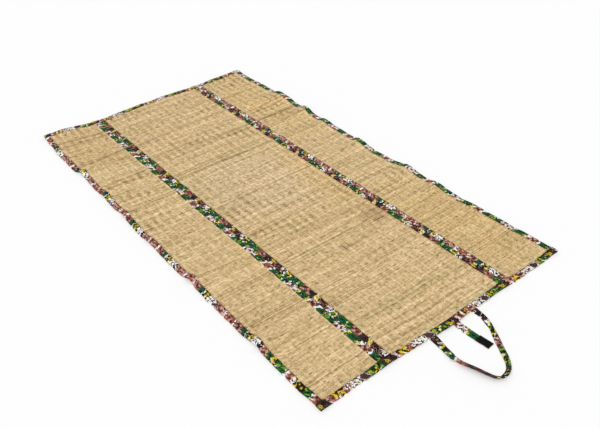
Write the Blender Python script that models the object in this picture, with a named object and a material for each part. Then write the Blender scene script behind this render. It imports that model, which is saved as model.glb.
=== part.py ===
"""A folding straw floor mat, unrolled and lying on the floor, with the folds that rolling leaves.

Three woven straw panels lie side by side. A tape is folded over each of their long sides, the
panels meet tape to tape, and one more tape is folded over each end of the mat, round all that
lies there. A carrying loop and a closing tab are sewn under the near end.

The origin is on the floor under the middle of the mat. X runs across the mat, +Y along it to the
end that it is rolled up from, and Z up. Lengths are in metres, and in the tables in millimetres.
"""

from collections import namedtuple
from math import cos, radians, sin

import bmesh
import bpy
import numpy as np

MM = 0.001

# Thicknesses and widths of the materials
GAP = 0.3 * MM
STRAW_THICKNESS = 2.2 * MM
TAPE_THICKNESS = 1.0 * MM
TAPE_WIDTH = 20.0 * MM
TAPE_ROUNDING = 0.9 * MM
TAPE_LAYER = TAPE_THICKNESS + GAP
SAG_WIDTH = 16.0 * MM
LIFT_FALL = 1.5

# Five lines along the flat mat: its long edges, the two seams, and the middle of the centre panel
Lines = namedtuple("Lines", "left_edge left_seam centre right_seam right_edge")
FLAT_X = Lines(-0.450, -0.231, 0.0, 0.217, 0.444)

# How far each line wanders sideways along the mat, in mm
Wander = namedtuple("Wander", "y left_edge left_seam centre right_seam right_edge")
WANDER = (
    Wander(-840, 0.0, 1.0, 0.0, 1.0, -3.0),
    Wander(-600, -1.0, 0.0, 0.0, 1.0, -2.0),
    Wander(-470, -3.0, 0.0, 0.0, 0.0, -6.0),
    Wander(-390, -5.0, -1.0, 0.0, 0.0, -2.0),
    Wander(-200, -8.0, -2.0, -1.0, 1.0, 0.0),
    Wander(-110, -8.0, -4.0, -1.0, 0.0, -9.0),
    Wander(50, -11.0, -6.0, -1.0, 0.0, -1.0),
    Wander(300, -12.0, -8.0, -2.0, 0.0, 1.0),
    Wander(480, -12.0, -9.0, -2.0, 1.0, 1.0),
    Wander(560, -18.0, -9.0, -2.0, 0.0, 0.0),
    Wander(730, -15.0, -11.0, -2.0, 1.0, 0.0),
    Wander(820, -6.0, -11.0, -2.0, 1.0, -2.0),
)

# The two ends: where each line stops, how far it is lifted there, the share of the lift that is
# left at the end tape's inner side, and how far in the lift reaches
End = namedtuple("End", "y lift kept reach")
NEAR_END = End(
    y=Lines(-837.5, -838.5, -843.5, -845.5, -845.0),
    lift=Lines(0.0, 0.0, 3.0, 0.0, 0.0),
    kept=1.0,
    reach=70.0,
)
FAR_END = End(
    y=Lines(810.0, 793.0, 812.0, 810.0, 815.0),
    lift=Lines(9.0, 0.5, 3.5, 1.0, 6.0),
    kept=0.7,
    reach=85.0,
)

# The folds from the near end to the far one: where each crosses a line, its crest's height there,
# and how far it runs out on either side, in mm
Fold = namedtuple("Fold", "y crest half_width")
FOLDS = (
    Fold(Lines(-700, -703, -705, -706, -700), Lines(1.5, 1.0, 2.5, 1.5, 1.5), 26),
    Fold(Lines(-583, -545, -515, -495, -492), Lines(10.0, 3.0, 1.5, 1.5, 1.0), 26),
    Fold(Lines(-392, -390, -382, -374, -366), Lines(2.0, 2.5, 2.5, 3.5, 5.0), 20),
    Fold(Lines(-330, -305, -292, -295, -298), Lines(0.5, 1.0, 2.0, 2.0, 0.5), 18),
    Fold(Lines(-250, -216, -200, -201, -226), Lines(10.0, 3.0, 3.0, 3.0, 6.0), 25),
    Fold(Lines(-30, -22, -10, 0, 6), Lines(6.0, 0.0, 0.0, 0.0, 6.0), 25),
    Fold(Lines(90, 110, 105, 100, 100), Lines(1.5, 0.0, 0.0, 0.0, 2.0), 20),
    Fold(Lines(180, 204, 220, 232, 205), Lines(6.0, 4.0, 5.0, 4.0, 8.0), 24),
    Fold(Lines(238, 286, 300, 306, 327), Lines(1.0, 1.0, 1.5, 3.0, 14.0), 24),
    Fold(Lines(302, 368, 378, 384, 427), Lines(6.0, 3.0, 3.0, 4.0, 12.0), 26),
    Fold(Lines(492, 516, 540, 542, 508), Lines(14.0, 4.0, 4.0, 5.0, 18.0), 26),
    Fold(Lines(660, 655, 655, 660, 665), Lines(2.0, 1.5, 2.0, 1.5, 2.0), 26),
)

# The carrying loop from its left root to its right one: its middle line, its width, and how far
# its outer side is turned up off the floor, in mm and degrees
STRAP_THICKNESS = 1.4 * MM
STRAP_STATIONS = 50
Strap = namedtuple("Strap", "x y width turn")
HANDLE = (
    Strap(-85, -826, 22, 0),
    Strap(-85, -848, 22, 0),
    Strap(-90, -879, 19, 3),
    Strap(-95, -909, 18, 15),
    Strap(-98, -928, 18, 28),
    Strap(-95, -948, 18, 38),
    Strap(-88, -969, 18, 42),
    Strap(-82, -989, 18, 44),
    Strap(-76, -1008, 17, 42),
    Strap(-68, -1026, 17, 38),
    Strap(-56, -1035, 15, 32),
    Strap(-40, -1035, 14, 24),
    Strap(-24, -1029, 13, 16),
    Strap(-11, -1018, 14, 10),
    Strap(0, -1004, 15, 6),
    Strap(17, -976, 16, 3),
    Strap(30, -954, 17, 3),
    Strap(41, -936, 16, 8),
    Strap(52, -917, 16, 14),
    Strap(59, -901, 16, 16),
    Strap(66, -883, 16, 10),
    Strap(70, -866, 17, 3),
    Strap(71, -846, 21, 0),
    Strap(71, -826, 21, 0),
)

# The closing tab: its middle line, its width and its underside's height, and the patch on its end
Tab = namedtuple("Tab", "x y width height")
CLOSING_TAB = (
    Tab(-2, -827, 22, 1.2),
    Tab(-2, -846, 22, 1.2),
    Tab(-2, -866, 22, 0.0),
    Tab(-1, -905, 22, 0.0),
    Tab(3, -955, 22, 0.0),
)
PATCH_LENGTH = 40.0 * MM
PATCH_OVERHANG = 1.0 * MM
PATCH_THICKNESS = 1.5 * MM

Finish = namedtuple("Finish", "name colour roughness")
STRAW = Finish("straw", (0.62, 0.47, 0.26, 1.0), 0.75)
PRINTED_COTTON = Finish("printed_cotton", (0.17, 0.10, 0.07, 1.0), 0.85)
HOOK_TAPE = Finish("hook_tape", (0.01, 0.01, 0.01, 1.0), 0.9)

# One crosswise row of the mat: its place and lift on the five lines, and how many end tapes
# (none or one) are folded round it
Row = namedtuple("Row", "y lift end_tapes")


def across(values, x):
    """The value at x of something given on the five lines, eased from each line to the next."""
    lines = np.array(FLAT_X)
    left = np.clip(np.searchsorted(lines, x, side="right") - 1, 0, len(lines) - 2)
    share = np.clip((x - lines[left]) / (lines[left + 1] - lines[left]), 0.0, 1.0)
    eased = share * share * (3.0 - 2.0 * share)
    values = np.array(values)
    return values[left] * (1.0 - eased) + values[left + 1] * eased


def wander(x, y):
    """How far the place (x, y) of the flat mat is shifted sideways."""
    table = np.array(WANDER) * MM
    shifts = [np.interp(y, table[:, 0], column) for column in table[:, 1:].T]
    return np.interp(x, FLAT_X, shifts)


def laid(x, row, height):
    """Where a point lies that is at x on the flat mat, in that row, and so high above its floor."""
    y = across(row.y, x)
    return (x + wander(x, y), y, across(row.lift, x) + height)


def end_row(end, inward, distance, end_tapes):
    """The row at a distance in from an end, whose lift dies away over the end's reach."""
    if distance < TAPE_WIDTH:
        share = 1.0 - (1.0 - end.kept) * distance / TAPE_WIDTH
    else:
        reach = end.reach * MM
        share = end.kept * ((reach - distance) / (reach - TAPE_WIDTH)) ** LIFT_FALL
    y = np.array(end.y) * MM + inward * distance
    return Row(y, np.array(end.lift) * MM * share, end_tapes)


def fold_rows(fold):
    """The three rows of a fold: its near foot, its crest and its far foot."""
    y = np.array(fold.y) * MM
    crest = np.array(fold.crest) * MM
    half_width = fold.half_width * MM
    return [
        Row(y - half_width, crest * 0.0, 0),
        Row(y, crest, 0),
        Row(y + half_width, crest * 0.0, 0),
    ]


def mat_rows():
    """Every row that the panels and the long tapes share, from the near end to the far one."""
    inside_fold = TAPE_THICKNESS + GAP
    distances = ((inside_fold, 1), (TAPE_WIDTH, 1), (TAPE_WIDTH + SAG_WIDTH, 0))
    near = [end_row(NEAR_END, 1, distance, tapes) for distance, tapes in distances]
    far = [end_row(FAR_END, -1, distance, tapes) for distance, tapes in distances]
    near.append(end_row(NEAR_END, 1, NEAR_END.reach * MM, 0))
    far.append(end_row(FAR_END, -1, FAR_END.reach * MM, 0))
    folds = [row for fold in FOLDS for row in fold_rows(fold)]
    return near + folds + far[::-1]


def folded_tape(lower, upper):
    """Corners of a tape folded over an edge, as (distance in from the fold, height).

    lower and upper are the heights of the undersides of its lower and its upper layer.
    """
    top = upper + TAPE_THICKNESS
    return (
        (TAPE_WIDTH, lower),
        (TAPE_ROUNDING, lower),
        (0.0, lower + TAPE_ROUNDING),
        (0.0, top - TAPE_ROUNDING),
        (TAPE_ROUNDING, top),
        (TAPE_WIDTH, top),
        (TAPE_WIDTH, upper),
        (TAPE_THICKNESS, upper),
        (TAPE_THICKNESS, lower + TAPE_THICKNESS),
        (TAPE_WIDTH, lower + TAPE_THICKNESS),
    )


def principled(finish):
    """The material of a finish."""
    material = bpy.data.materials.get(finish.name) or bpy.data.materials.new(finish.name)
    material.use_nodes = True
    shader = material.node_tree.nodes["Principled BSDF"]
    shader.inputs["Base Color"].default_value = finish.colour
    shader.inputs["Roughness"].default_value = finish.roughness
    shader.inputs["Metallic"].default_value = 0.0
    return material


def skinned(name, rings, finish, sheet=True):
    """A closed solid through rings of corners, with its two ends capped.

    Each four-sided face is split along the diagonal that runs up both X and Y, so that layers
    that lie on each other bend along the same lines and keep their gap. The end of a sheet, whose
    ring runs along its underside and back over its top, is a row of upright faces; any other end
    is one flat face.
    """
    mesh = bpy.data.meshes.new(name)
    solid = bmesh.new()
    verts = [[solid.verts.new(point) for point in ring] for ring in rings]
    for ring, next_ring in zip(verts, verts[1:]):
        for corner in range(len(ring)):
            after = (corner + 1) % len(ring)
            a, b, c, d = ring[corner], ring[after], next_ring[after], next_ring[corner]
            along = c.co - a.co
            if along.x * along.y >= 0.0:
                triangles = ((a, b, c), (a, c, d))
            else:
                triangles = ((a, b, d), (b, c, d))
            for triangle in triangles:
                solid.faces.new(triangle)
    for end in (verts[0], verts[-1]):
        if sheet:
            half = len(end) // 2
            under, over = end[:half], end[:half - 1:-1]
            for face in zip(under, under[1:], over[1:], over):
                solid.faces.new(face)
        else:
            solid.faces.new(end)
    bmesh.ops.recalc_face_normals(solid, faces=solid.faces)
    solid.to_mesh(mesh)
    solid.free()
    mesh.materials.append(principled(finish))
    piece = bpy.data.objects.new(name, mesh)
    bpy.context.scene.collection.objects.link(piece)
    return piece


def panel_columns(left, right, inner):
    """Columns across a panel, as (x, long tapes folded round it there), between its two edges."""
    inside_fold = TAPE_THICKNESS + GAP
    rim = ((inside_fold, 1), (TAPE_WIDTH, 1), (TAPE_WIDTH + SAG_WIDTH, 0))
    return (
        [(left + distance, tapes) for distance, tapes in rim]
        + [(x, 0) for x in inner]
        + [(right - distance, tapes) for distance, tapes in reversed(rim)]
    )


def straw_panel(name, columns, rows):
    """A woven panel: it lies on the floor, and on the lower tape layers along its sides."""
    rings = []
    for row in rows:
        under = [
            laid(x, row, (tapes + row.end_tapes) * TAPE_LAYER) for x, tapes in columns
        ]
        over = [(x, y, z + STRAW_THICKNESS) for x, y, z in reversed(under)]
        rings.append(under + over)
    return skinned(name, rings, STRAW)


def long_binding(name, edge, inward, rows):
    """The tape folded over one long side of a panel, inside the end tapes at its two ends."""
    rings = []
    for row in rows:
        lower = row.end_tapes * TAPE_LAYER
        upper = lower + TAPE_LAYER + STRAW_THICKNESS + GAP
        rings.append(
            [
                laid(edge + inward * distance, row, height)
                for distance, height in folded_tape(lower, upper)
            ]
        )
    return skinned(name, rings, PRINTED_COTTON, sheet=False)


def end_binding(name, end, inward, columns):
    """The tape folded over one end of the mat, round the panels and their long tapes."""
    rings = []
    for x, tapes in columns:
        upper = (2 * tapes + 1) * TAPE_LAYER + STRAW_THICKNESS + GAP
        rings.append(
            [
                laid(x, end_row(end, inward, distance, 0), height)
                for distance, height in folded_tape(0.0, upper)
            ]
        )
    return skinned(name, rings, PRINTED_COTTON, sheet=False)


def smooth_rows(table, count):
    """Rows read at even steps from a smooth curve through the rows of a table."""
    points = np.array(table, dtype=float)
    places = np.linspace(0.0, len(points) - 1.0, count)
    low = np.clip(places.astype(int), 0, len(points) - 2)
    t = (places - low)[:, None]
    before = points[np.clip(low - 1, 0, None)]
    start = points[low]
    stop = points[low + 1]
    after = points[np.clip(low + 2, None, len(points) - 1)]
    return 0.5 * (
        2.0 * start
        + (stop - before) * t
        + (2.0 * before - 5.0 * start + 4.0 * stop - after) * t**2
        + (3.0 * start - before - 3.0 * stop + after) * t**3
    )


def flat_strip(middle, sides, widths, turns, heights, thickness):
    """Rings of a flat strip along a line, each turned up about the side that stays lowest."""
    rings = []
    for place, side, width, turn, height in zip(middle, sides, widths, turns, heights):
        out = np.array((side[0] * cos(turn), side[1] * cos(turn), sin(turn)))
        up = np.array((-side[0] * sin(turn), -side[1] * sin(turn), cos(turn)))
        base = np.array((place[0], place[1], height + 0.5 * width * abs(sin(turn))))
        rings.append(
            [
                base - out * width / 2,
                base + out * width / 2,
                base + out * width / 2 + up * thickness,
                base - out * width / 2 + up * thickness,
            ]
        )
    return rings


def outer_sides(middle):
    """The level direction out of the loop at each place along its middle line."""
    along = np.gradient(middle, axis=0)
    along /= np.linalg.norm(along, axis=1)[:, None]
    return np.stack((along[:, 1], -along[:, 0]), axis=1)


def carrying_handle():
    """The loop of flat strap, its two roots tucked under the near end tape."""
    x, y, width, turn = smooth_rows(HANDLE, STRAP_STATIONS).T
    middle = np.stack((x, y), axis=1) * MM
    turns = [radians(angle) for angle in np.clip(turn, 0.0, None)]
    floor = np.zeros(len(middle))
    rings = flat_strip(
        middle, outer_sides(middle), width * MM, turns, floor, STRAP_THICKNESS
    )
    return skinned("handle_strap", rings, PRINTED_COTTON)


def closing_tab():
    """The short tab from under the near end tape, and the hook patch on its end."""
    x, y, width, height = np.array(CLOSING_TAB, dtype=float).T * MM
    middle = np.stack((x, y), axis=1)
    level = np.zeros(len(middle))
    sides = outer_sides(middle)
    rings = flat_strip(middle, sides, width, level, height, STRAP_THICKNESS)
    skinned("closing_tab", rings, PRINTED_COTTON)

    end, before = middle[-1], middle[-2]
    back = (before - end) / np.linalg.norm(before - end)
    patch = np.array((end, end + back * PATCH_LENGTH))
    rings = flat_strip(
        patch,
        (sides[-1], sides[-1]),
        np.full(2, width[-1] + 2 * PATCH_OVERHANG),
        level[:2],
        np.full(2, STRAP_THICKNESS + GAP),
        PATCH_THICKNESS,
    )
    skinned("hook_patch", rings, HOOK_TAPE)


def build_mat():
    """Every piece of the mat."""
    for leftover in list(bpy.data.objects):
        bpy.data.objects.remove(leftover)

    left_seam, right_seam = FLAT_X.left_seam, FLAT_X.right_seam
    half_gap = GAP / 2
    left = panel_columns(FLAT_X.left_edge, left_seam - half_gap, (-0.340,))
    centre = panel_columns(
        left_seam + half_gap, right_seam - half_gap, (-0.105, 0.0, 0.105)
    )
    right = panel_columns(right_seam + half_gap, FLAT_X.right_edge, (0.330,))

    rows = mat_rows()
    straw_panel("panel_left", left, rows)
    straw_panel("panel_centre", centre, rows)
    straw_panel("panel_right", right, rows)

    bound_edges = (
        ("binding_left_outer", FLAT_X.left_edge, 1),
        ("binding_left_inner", left_seam - half_gap, -1),
        ("binding_centre_left", left_seam + half_gap, 1),
        ("binding_centre_right", right_seam - half_gap, -1),
        ("binding_right_inner", right_seam + half_gap, 1),
        ("binding_right_outer", FLAT_X.right_edge, -1),
    )
    for name, edge, inward in bound_edges:
        long_binding(name, edge, inward, rows)

    end_columns = (
        [(FLAT_X.left_edge, 1)]
        + left[1:-1]
        + [(left_seam, 1)]
        + centre[1:-1]
        + [(right_seam, 1)]
        + right[1:-1]
        + [(FLAT_X.right_edge, 1)]
    )
    end_binding("end_binding_near", NEAR_END, 1, end_columns)
    end_binding("end_binding_far", FAR_END, -1, end_columns)

    carrying_handle()
    closing_tab()


build_mat()
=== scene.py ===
"""A folding straw floor mat, unrolled on the floor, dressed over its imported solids.

Three panels of rushes woven on string warps are bound with printed cotton tape and sewn together
tape to tape. Each end is bound once more, and a carrying loop and a closing tab with a hook patch
are sewn under the near end. Lengths are in metres, and in the tables in millimetres. X runs
across the mat, +Y along it to the far end, and Z up.
"""

import logging
from collections.abc import Callable, Iterable, Sequence
from dataclasses import dataclass, field
from enum import Enum

import bpy
import numpy as np
from mathutils import Matrix


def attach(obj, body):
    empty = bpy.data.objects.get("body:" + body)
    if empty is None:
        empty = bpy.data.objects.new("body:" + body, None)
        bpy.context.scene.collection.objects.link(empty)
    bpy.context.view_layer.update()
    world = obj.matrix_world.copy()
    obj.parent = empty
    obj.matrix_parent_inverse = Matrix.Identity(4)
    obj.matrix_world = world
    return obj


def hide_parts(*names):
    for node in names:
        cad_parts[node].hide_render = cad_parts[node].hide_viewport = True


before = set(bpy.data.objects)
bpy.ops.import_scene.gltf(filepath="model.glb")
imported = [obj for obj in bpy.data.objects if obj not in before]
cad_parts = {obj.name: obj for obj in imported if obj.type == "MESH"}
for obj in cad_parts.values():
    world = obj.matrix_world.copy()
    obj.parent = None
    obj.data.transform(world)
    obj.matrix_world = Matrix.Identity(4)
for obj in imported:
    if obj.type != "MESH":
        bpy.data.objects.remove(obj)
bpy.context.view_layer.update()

log = logging.getLogger("straw_mat")

Array = np.ndarray
Node = bpy.types.Node
Socket = bpy.types.NodeSocket
Piece = bpy.types.Object
Colour = tuple[float, float, float, float]
FiveLines = tuple[float, float, float, float, float]

MM = 0.001
GAP = 0.3 * MM
STRAW_THICKNESS = 2.2 * MM
TAPE_THICKNESS = 1.0 * MM
TAPE_LAYER = TAPE_THICKNESS + GAP
TAPE_WIDTH = 20.0 * MM
SAG_WIDTH = 16.0 * MM
# The vertex attribute that holds the painted shade along the creases
CLOTH_UV = "cloth"
CREASE_SHADE_ATTRIBUTE = "crease"

RUSH_PITCH = 3.75 * MM
STRING_PITCH = 14.0 * MM
RUSHES = 440
PANEL_LENGTH = RUSHES * RUSH_PITCH

UP = np.array((0.0, 0.0, 1.0))

STITCH_INSET = 2.4 * MM
THREAD_LIFT = 0.12 * MM
THREAD_RADIUS = 0.28 * MM
THREAD_RISE = 0.42 * MM

LIGHT_LEVEL = 1.1


def pigment(red: float, green: float, blue: float) -> Colour:
    """Reflectance of a colour seen as eight-bit sRGB under the studio's light.

    Args:
        red, green, blue: the colour as seen, from 0 to 255.

    Returns:
        The linear colour, each channel being ((c + 0.055) / 1.055) to the power 2.4, over the
        light's level.
    """
    seen = np.array((red, green, blue)) / 255.0
    linear = np.where(seen <= 0.04045, seen / 12.92, ((seen + 0.055) / 1.055) ** 2.4)
    return (*(float(c) for c in linear / LIGHT_LEVEL), 1.0)


def eased(share: Array) -> Array:
    """3 t squared less 2 t cubed, with t held between 0 and 1."""
    held = np.clip(share, 0.0, 1.0)
    return held * held * (3.0 - 2.0 * held)


def drift(seed: int, along: Array, spacing: float) -> Array:
    """A smooth random curve between -1 and 1.

    Random knots lie spacing apart, and each step between two knots is eased.

    Args:
        seed: which curve.
        along: where it is read, in metres.
        spacing: the distance between knots, in metres.

    Returns:
        The curve's value at each place.
    """
    knots = np.random.default_rng(seed).uniform(-1.0, 1.0, 997)
    place = np.asarray(along) / spacing + 400.0
    low = np.floor(place).astype(int)
    step = eased(place - low)
    return knots[low % 997] * (1.0 - step) + knots[(low + 1) % 997] * step


def mottle(seed: int, x: Array, y: Array, size_x: float, size_y: float) -> Array:
    """A smooth random surface between -1 and 1: random knots on a grid, eased between.

    Args:
        seed: which surface.
        x, y: where it is read, in metres.
        size_x, size_y: the grid's spacing, in metres.

    Returns:
        The surface's value at each place.
    """
    knots = np.random.default_rng(seed).uniform(-1.0, 1.0, (127, 509))
    place_x, place_y = x / size_x + 60.0, y / size_y + 250.0
    left, low = np.floor(place_x).astype(int), np.floor(place_y).astype(int)
    step_x, step_y = eased(place_x - left), eased(place_y - low)
    near = (
        knots[left % 127, low % 509] * (1.0 - step_x)
        + knots[(left + 1) % 127, low % 509] * step_x
    )
    far = (
        knots[left % 127, (low + 1) % 509] * (1.0 - step_x)
        + knots[(left + 1) % 127, (low + 1) % 509] * step_x
    )
    return near * (1.0 - step_y) + far * step_y


def smooth_table(table: Sequence[Sequence[float]], count: int) -> Array:
    """Rows read at even steps from the Catmull-Rom curve through the rows of a table.

    Args:
        table: the rows.
        count: how many rows to read.

    Returns:
        An array of count rows.
    """
    points = np.array(table, dtype=float)
    places = np.linspace(0.0, len(points) - 1.0, count)
    low = np.clip(places.astype(int), 0, len(points) - 2)
    t = (places - low)[:, None]
    before, start = points[np.clip(low - 1, 0, None)], points[low]
    stop, after = points[low + 1], points[np.clip(low + 2, None, len(points) - 1)]
    return 0.5 * (
        2.0 * start
        + (stop - before) * t
        + (2.0 * before - 5.0 * start + 4.0 * stop - after) * t**2
        + (3.0 * start - before - 3.0 * stop + after) * t**3
    )


@dataclass(frozen=True)
class Fold:
    """One fold across the mat: where it crosses the five lines, and its crest's height, in mm.

    At the mat's right edge its half width is right_width, longer on the near side by the lean.
    """

    y: FiveLines
    crest: FiveLines
    half_width: float
    right_width: float = 40.0
    lean: float = 0.35


@dataclass(frozen=True)
class CreaseShade:
    """A line of painted shade along a crease in the straw: its points as x, y and darkness, and its
    half width, in mm.
    """

    path: tuple[tuple[float, float, float], ...]
    half_width: float = 3.5


@dataclass(frozen=True)
class MatEnd:
    """One end of the mat: where the five lines stop and how they lift, in mm.

    The kept share of the lift is left at the end tape's inner side, and none at the reach. Inward
    is the sign of the way into the mat. Each wave along the end has its x, its reach, how far in
    it draws the end and how far it lifts it.
    """

    y: FiveLines
    lift: FiveLines
    kept: float
    reach: float
    inward: int
    waves: tuple[tuple[float, float, float, float], ...]

    def waved(self, x: Array, which: int) -> Array:
        """The waves' sum at x, in metres: which is 2 for how far in, and 3 for the lift."""
        total = np.zeros(np.shape(x))
        for wave in self.waves:
            near = eased(1.0 - np.abs(x - wave[0] * MM) / (wave[1] * MM))
            total = total + wave[which] * MM * near
        return total


NEAR_END = MatEnd(
    (-837.5, -838.5, -843.5, -845.5, -845.0), (0.0, 0.0, 3.0, 0.0, 0.0), 1.0, 70.0, 1,
    ((-330, 80, 2.0, 0), (-230, 80, 3.2, 0), (-25, 110, -4.0, 0), (180, 90, 3.4, 0),
     (425, 60, 3.0, 0)),
)
FAR_END = MatEnd(
    (810.0, 793.0, 812.0, 810.0, 815.0), (3.5, 0.5, 3.5, 1.0, 4.0), 0.7, 85.0, -1,
    ((-400, 60, 0, 3.0), (-350, 80, 0, 7.0), (-280, 70, 0, 3.0), (-155, 70, 0, 3.5),
     (0, 50, 0, -2.5), (60, 60, 0, 1.5), (140, 80, 0, 2.0), (275, 60, 0, 2.0), (330, 110, 0, 4.5),
     (410, 60, 0, 4.0)),
)
FOLDS = (
    Fold((-700, -703, -705, -706, -700), (1.5, 1.0, 2.0, 1.2, 0.8), 26),
    Fold((-583, -545, -515, -495, -492), (9.0, 2.5, 1.0, 1.0, 0.5), 26),
    Fold((-392, -390, -386, -382, -374), (2.0, 2.0, 2.0, 2.5, 5.0), 20),
    Fold((-330, -305, -292, -295, -298), (0.5, 0.6, 1.0, 1.0, 0.0), 18),
    Fold((-262, -222, -212, -212, -240), (8.0, 2.5, 2.2, 2.2, 7.5), 25),
    Fold((-30, -22, -10, 0, 3), (5.0, 0.0, 0.0, 0.0, 8.0), 25),
    Fold((90, 110, 105, 100, 100), (1.0, 0.0, 0.0, 0.0, 0.5), 20),
    Fold((140, 142, 150, 150, 150), (5.0, 3.5, 0.0, 0.0, 0.0), 24),
    Fold((206, 206, 208, 211, 205), (0.0, 1.0, 4.5, 3.5, 6.0), 24),
    Fold((238, 286, 300, 306, 328), (1.0, 0.5, 0.7, 2.0, 12.0), 24, 42.0, 0.0),
    Fold((290, 350, 362, 366, 424), (4.0, 2.0, 2.2, 3.0, 4.0), 26, 40.0, 0.0),
    Fold((470, 508, 522, 534, 496), (7.0, 3.0, 3.0, 3.5, 13.0), 26, 70.0, 0.25),
    Fold((660, 655, 655, 650, 665), (1.5, 1.0, 1.5, 1.2, 1.0), 26),
)
# Lines of painted shade along the creases in the straw, each darkest at its points
CREASE_SHADES = (
    CreaseShade(((-445, 141, 0.8), (-377, 144, 0.9), (-300, 146, 0.8), (-240, 149, 0.6)), 4.5),
    CreaseShade(((-230, 206, 0.35), (-143, 212, 0.55), (-50, 216, 0.75), (45, 214, 0.85),
            (132, 216, 0.65), (210, 220, 0.4)), 8.0),
    CreaseShade(((-340, -8, 0.3), (-300, -6, 0.4), (-143, -2, 0.5), (-50, -4, 0.35), (132, -8, 0.35),
            (215, -18, 0.5), (292, -14, 0.6), (370, -8, 0.9), (440, -4, 0.9))),
    CreaseShade(((-445, 22, 0.5), (-377, 26, 0.5), (-320, 31, 0.4), (-240, 34, 0.2))),
    CreaseShade(((-445, -272, 0.5), (-377, -272, 0.4), (-300, -271, 0.4), (-240, -268, 0.3))),
    CreaseShade(((-230, -214, 0.3), (-143, -209, 0.45), (-50, -210, 0.45), (45, -204, 0.35),
            (132, -218, 0.4), (215, -214, 0.2))),
    CreaseShade(((330, -202, 0.2), (370, -198, 0.4), (440, -196, 0.5))),
    CreaseShade(((-340, -366, 0.2), (-300, -362, 0.35), (-230, -362, 0.3), (-143, -358, 0.45),
            (-95, -380, 0.3), (-50, -384, 0.5), (45, -380, 0.5), (132, -376, 0.65),
            (215, -372, 0.6)), 2.8),
    CreaseShade(((-70, -353, 0.2), (-50, -352, 0.4), (45, -344, 0.35), (132, -338, 0.35)), 2.8),
    CreaseShade(((-90, -436, 0.2), (-50, -434, 0.35), (45, -430, 0.35), (132, -424, 0.4),
            (215, -422, 0.3)), 2.8),
    CreaseShade(((-110, 357, 0.2), (-50, 362, 0.4), (45, 367, 0.4), (132, 372, 0.7), (215, 378, 0.9),
            (292, 380, 1.1), (370, 384, 0.85), (440, 390, 0.7)), 5.0),
    CreaseShade(((-445, 341, 0.4), (-377, 340, 0.5), (-300, 340, 0.8), (-240, 342, 0.7)), 5.0),
    CreaseShade(((-220, 400, 0.3), (-143, 406, 0.5), (-50, 411, 0.5), (0, 413, 0.2)), 4.0),
    CreaseShade(((-445, 510, 0.4), (-377, 514, 0.5), (-300, 520, 0.7), (-235, 526, 0.5)), 5.0),
    CreaseShade(((-220, 506, 0.4), (-143, 515, 0.5), (-50, 524, 0.65), (45, 533, 0.45), (132, 540, 0.4),
            (292, 548, 0.4), (370, 554, 0.5), (440, 558, 0.4)), 5.0),
    CreaseShade(((-445, 103, 0.3), (-377, 104, 0.4), (-300, 106, 0.45), (-240, 107, 0.2))),
    CreaseShade(((0, 95, 0.3), (45, 98, 0.6), (132, 107, 0.65), (215, 114, 0.4))),
    CreaseShade(((330, 100, 0.2), (370, 102, 0.5), (440, 103, 0.5))),
    CreaseShade(((-445, 242, 0.4), (-377, 244, 0.5), (-300, 244, 0.4), (-245, 245, 0.2))),
    CreaseShade(((-445, 268, 0.4), (-377, 266, 0.5), (-335, 264, 0.2))),
    CreaseShade(((-190, -696, 0.3), (-143, -692, 0.4), (-50, -698, 0.4), (45, -696, 0.4),
            (90, -694, 0.2)), 2.8),
    CreaseShade(((-445, -762, 0.4), (-377, -754, 0.4), (-330, -750, 0.1)), 2.8),
    CreaseShade(((-445, -620, 0.3), (-377, -618, 0.4), (-340, -617, 0.1)), 2.8),
    CreaseShade(((-445, -594, 0.3), (-377, -592, 0.35), (-340, -591, 0.1)), 2.8),
    CreaseShade(((-420, -516, 0.3), (-377, -512, 0.35), (-300, -508, 0.4), (-245, -501, 0.3)), 2.8),
    CreaseShade(((-445, -77, 0.4), (-377, -72, 0.45), (-335, -69, 0.1)), 3.0),
    CreaseShade(((240, -570, 0.3), (292, -568, 0.4), (370, -564, 0.35), (440, -560, 0.3)), 2.8),
    CreaseShade(((240, -490, 0.4), (292, -492, 0.45), (340, -494, 0.1)), 2.8),
    CreaseShade(((330, -738, 0.2), (370, -734, 0.35), (440, -731, 0.4)), 2.8),
    CreaseShade(((330, -368, 0.2), (370, -366, 0.4), (440, -362, 0.5)), 2.8),
    CreaseShade(((240, -75, 0.3), (292, -70, 0.45), (340, -66, 0.1)), 3.0),
    CreaseShade(((240, 24, 0.4), (292, 24, 0.4), (340, 24, 0.1)), 3.0),
    CreaseShade(((240, 302, 0.4), (292, 308, 0.5), (370, 318, 0.45), (440, 324, 0.4)), 4.0),
    CreaseShade(((330, 481, 0.3), (370, 486, 0.45), (440, 494, 0.4)), 4.0),
    CreaseShade(((240, 624, 0.5), (292, 630, 0.5), (340, 636, 0.2)), 4.5),
    CreaseShade(((-100, -243, 0.2), (-50, -242, 0.4), (0, -241, 0.1)), 3.0),
    CreaseShade(((-100, -85, 0.2), (-50, -84, 0.4), (45, -78, 0.4), (90, -76, 0.1)), 3.0),
    CreaseShade(((90, 647, 0.3), (132, 651, 0.6), (215, 658, 0.4)), 5.0),
    CreaseShade(((-220, 666, 0.4), (-143, 672, 0.4), (-100, 675, 0.2)), 5.0),
    CreaseShade(((-445, 722, 0.4), (-377, 716, 0.4), (-300, 699, 0.6), (-240, 694, 0.5)), 6.0),
    CreaseShade(((-350, 474, 0.2), (-300, 468, 0.45), (-240, 462, 0.4)), 4.5),
    CreaseShade(((90, -636, 0.2), (132, -632, 0.45), (215, -622, 0.4)), 2.8),
)
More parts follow.
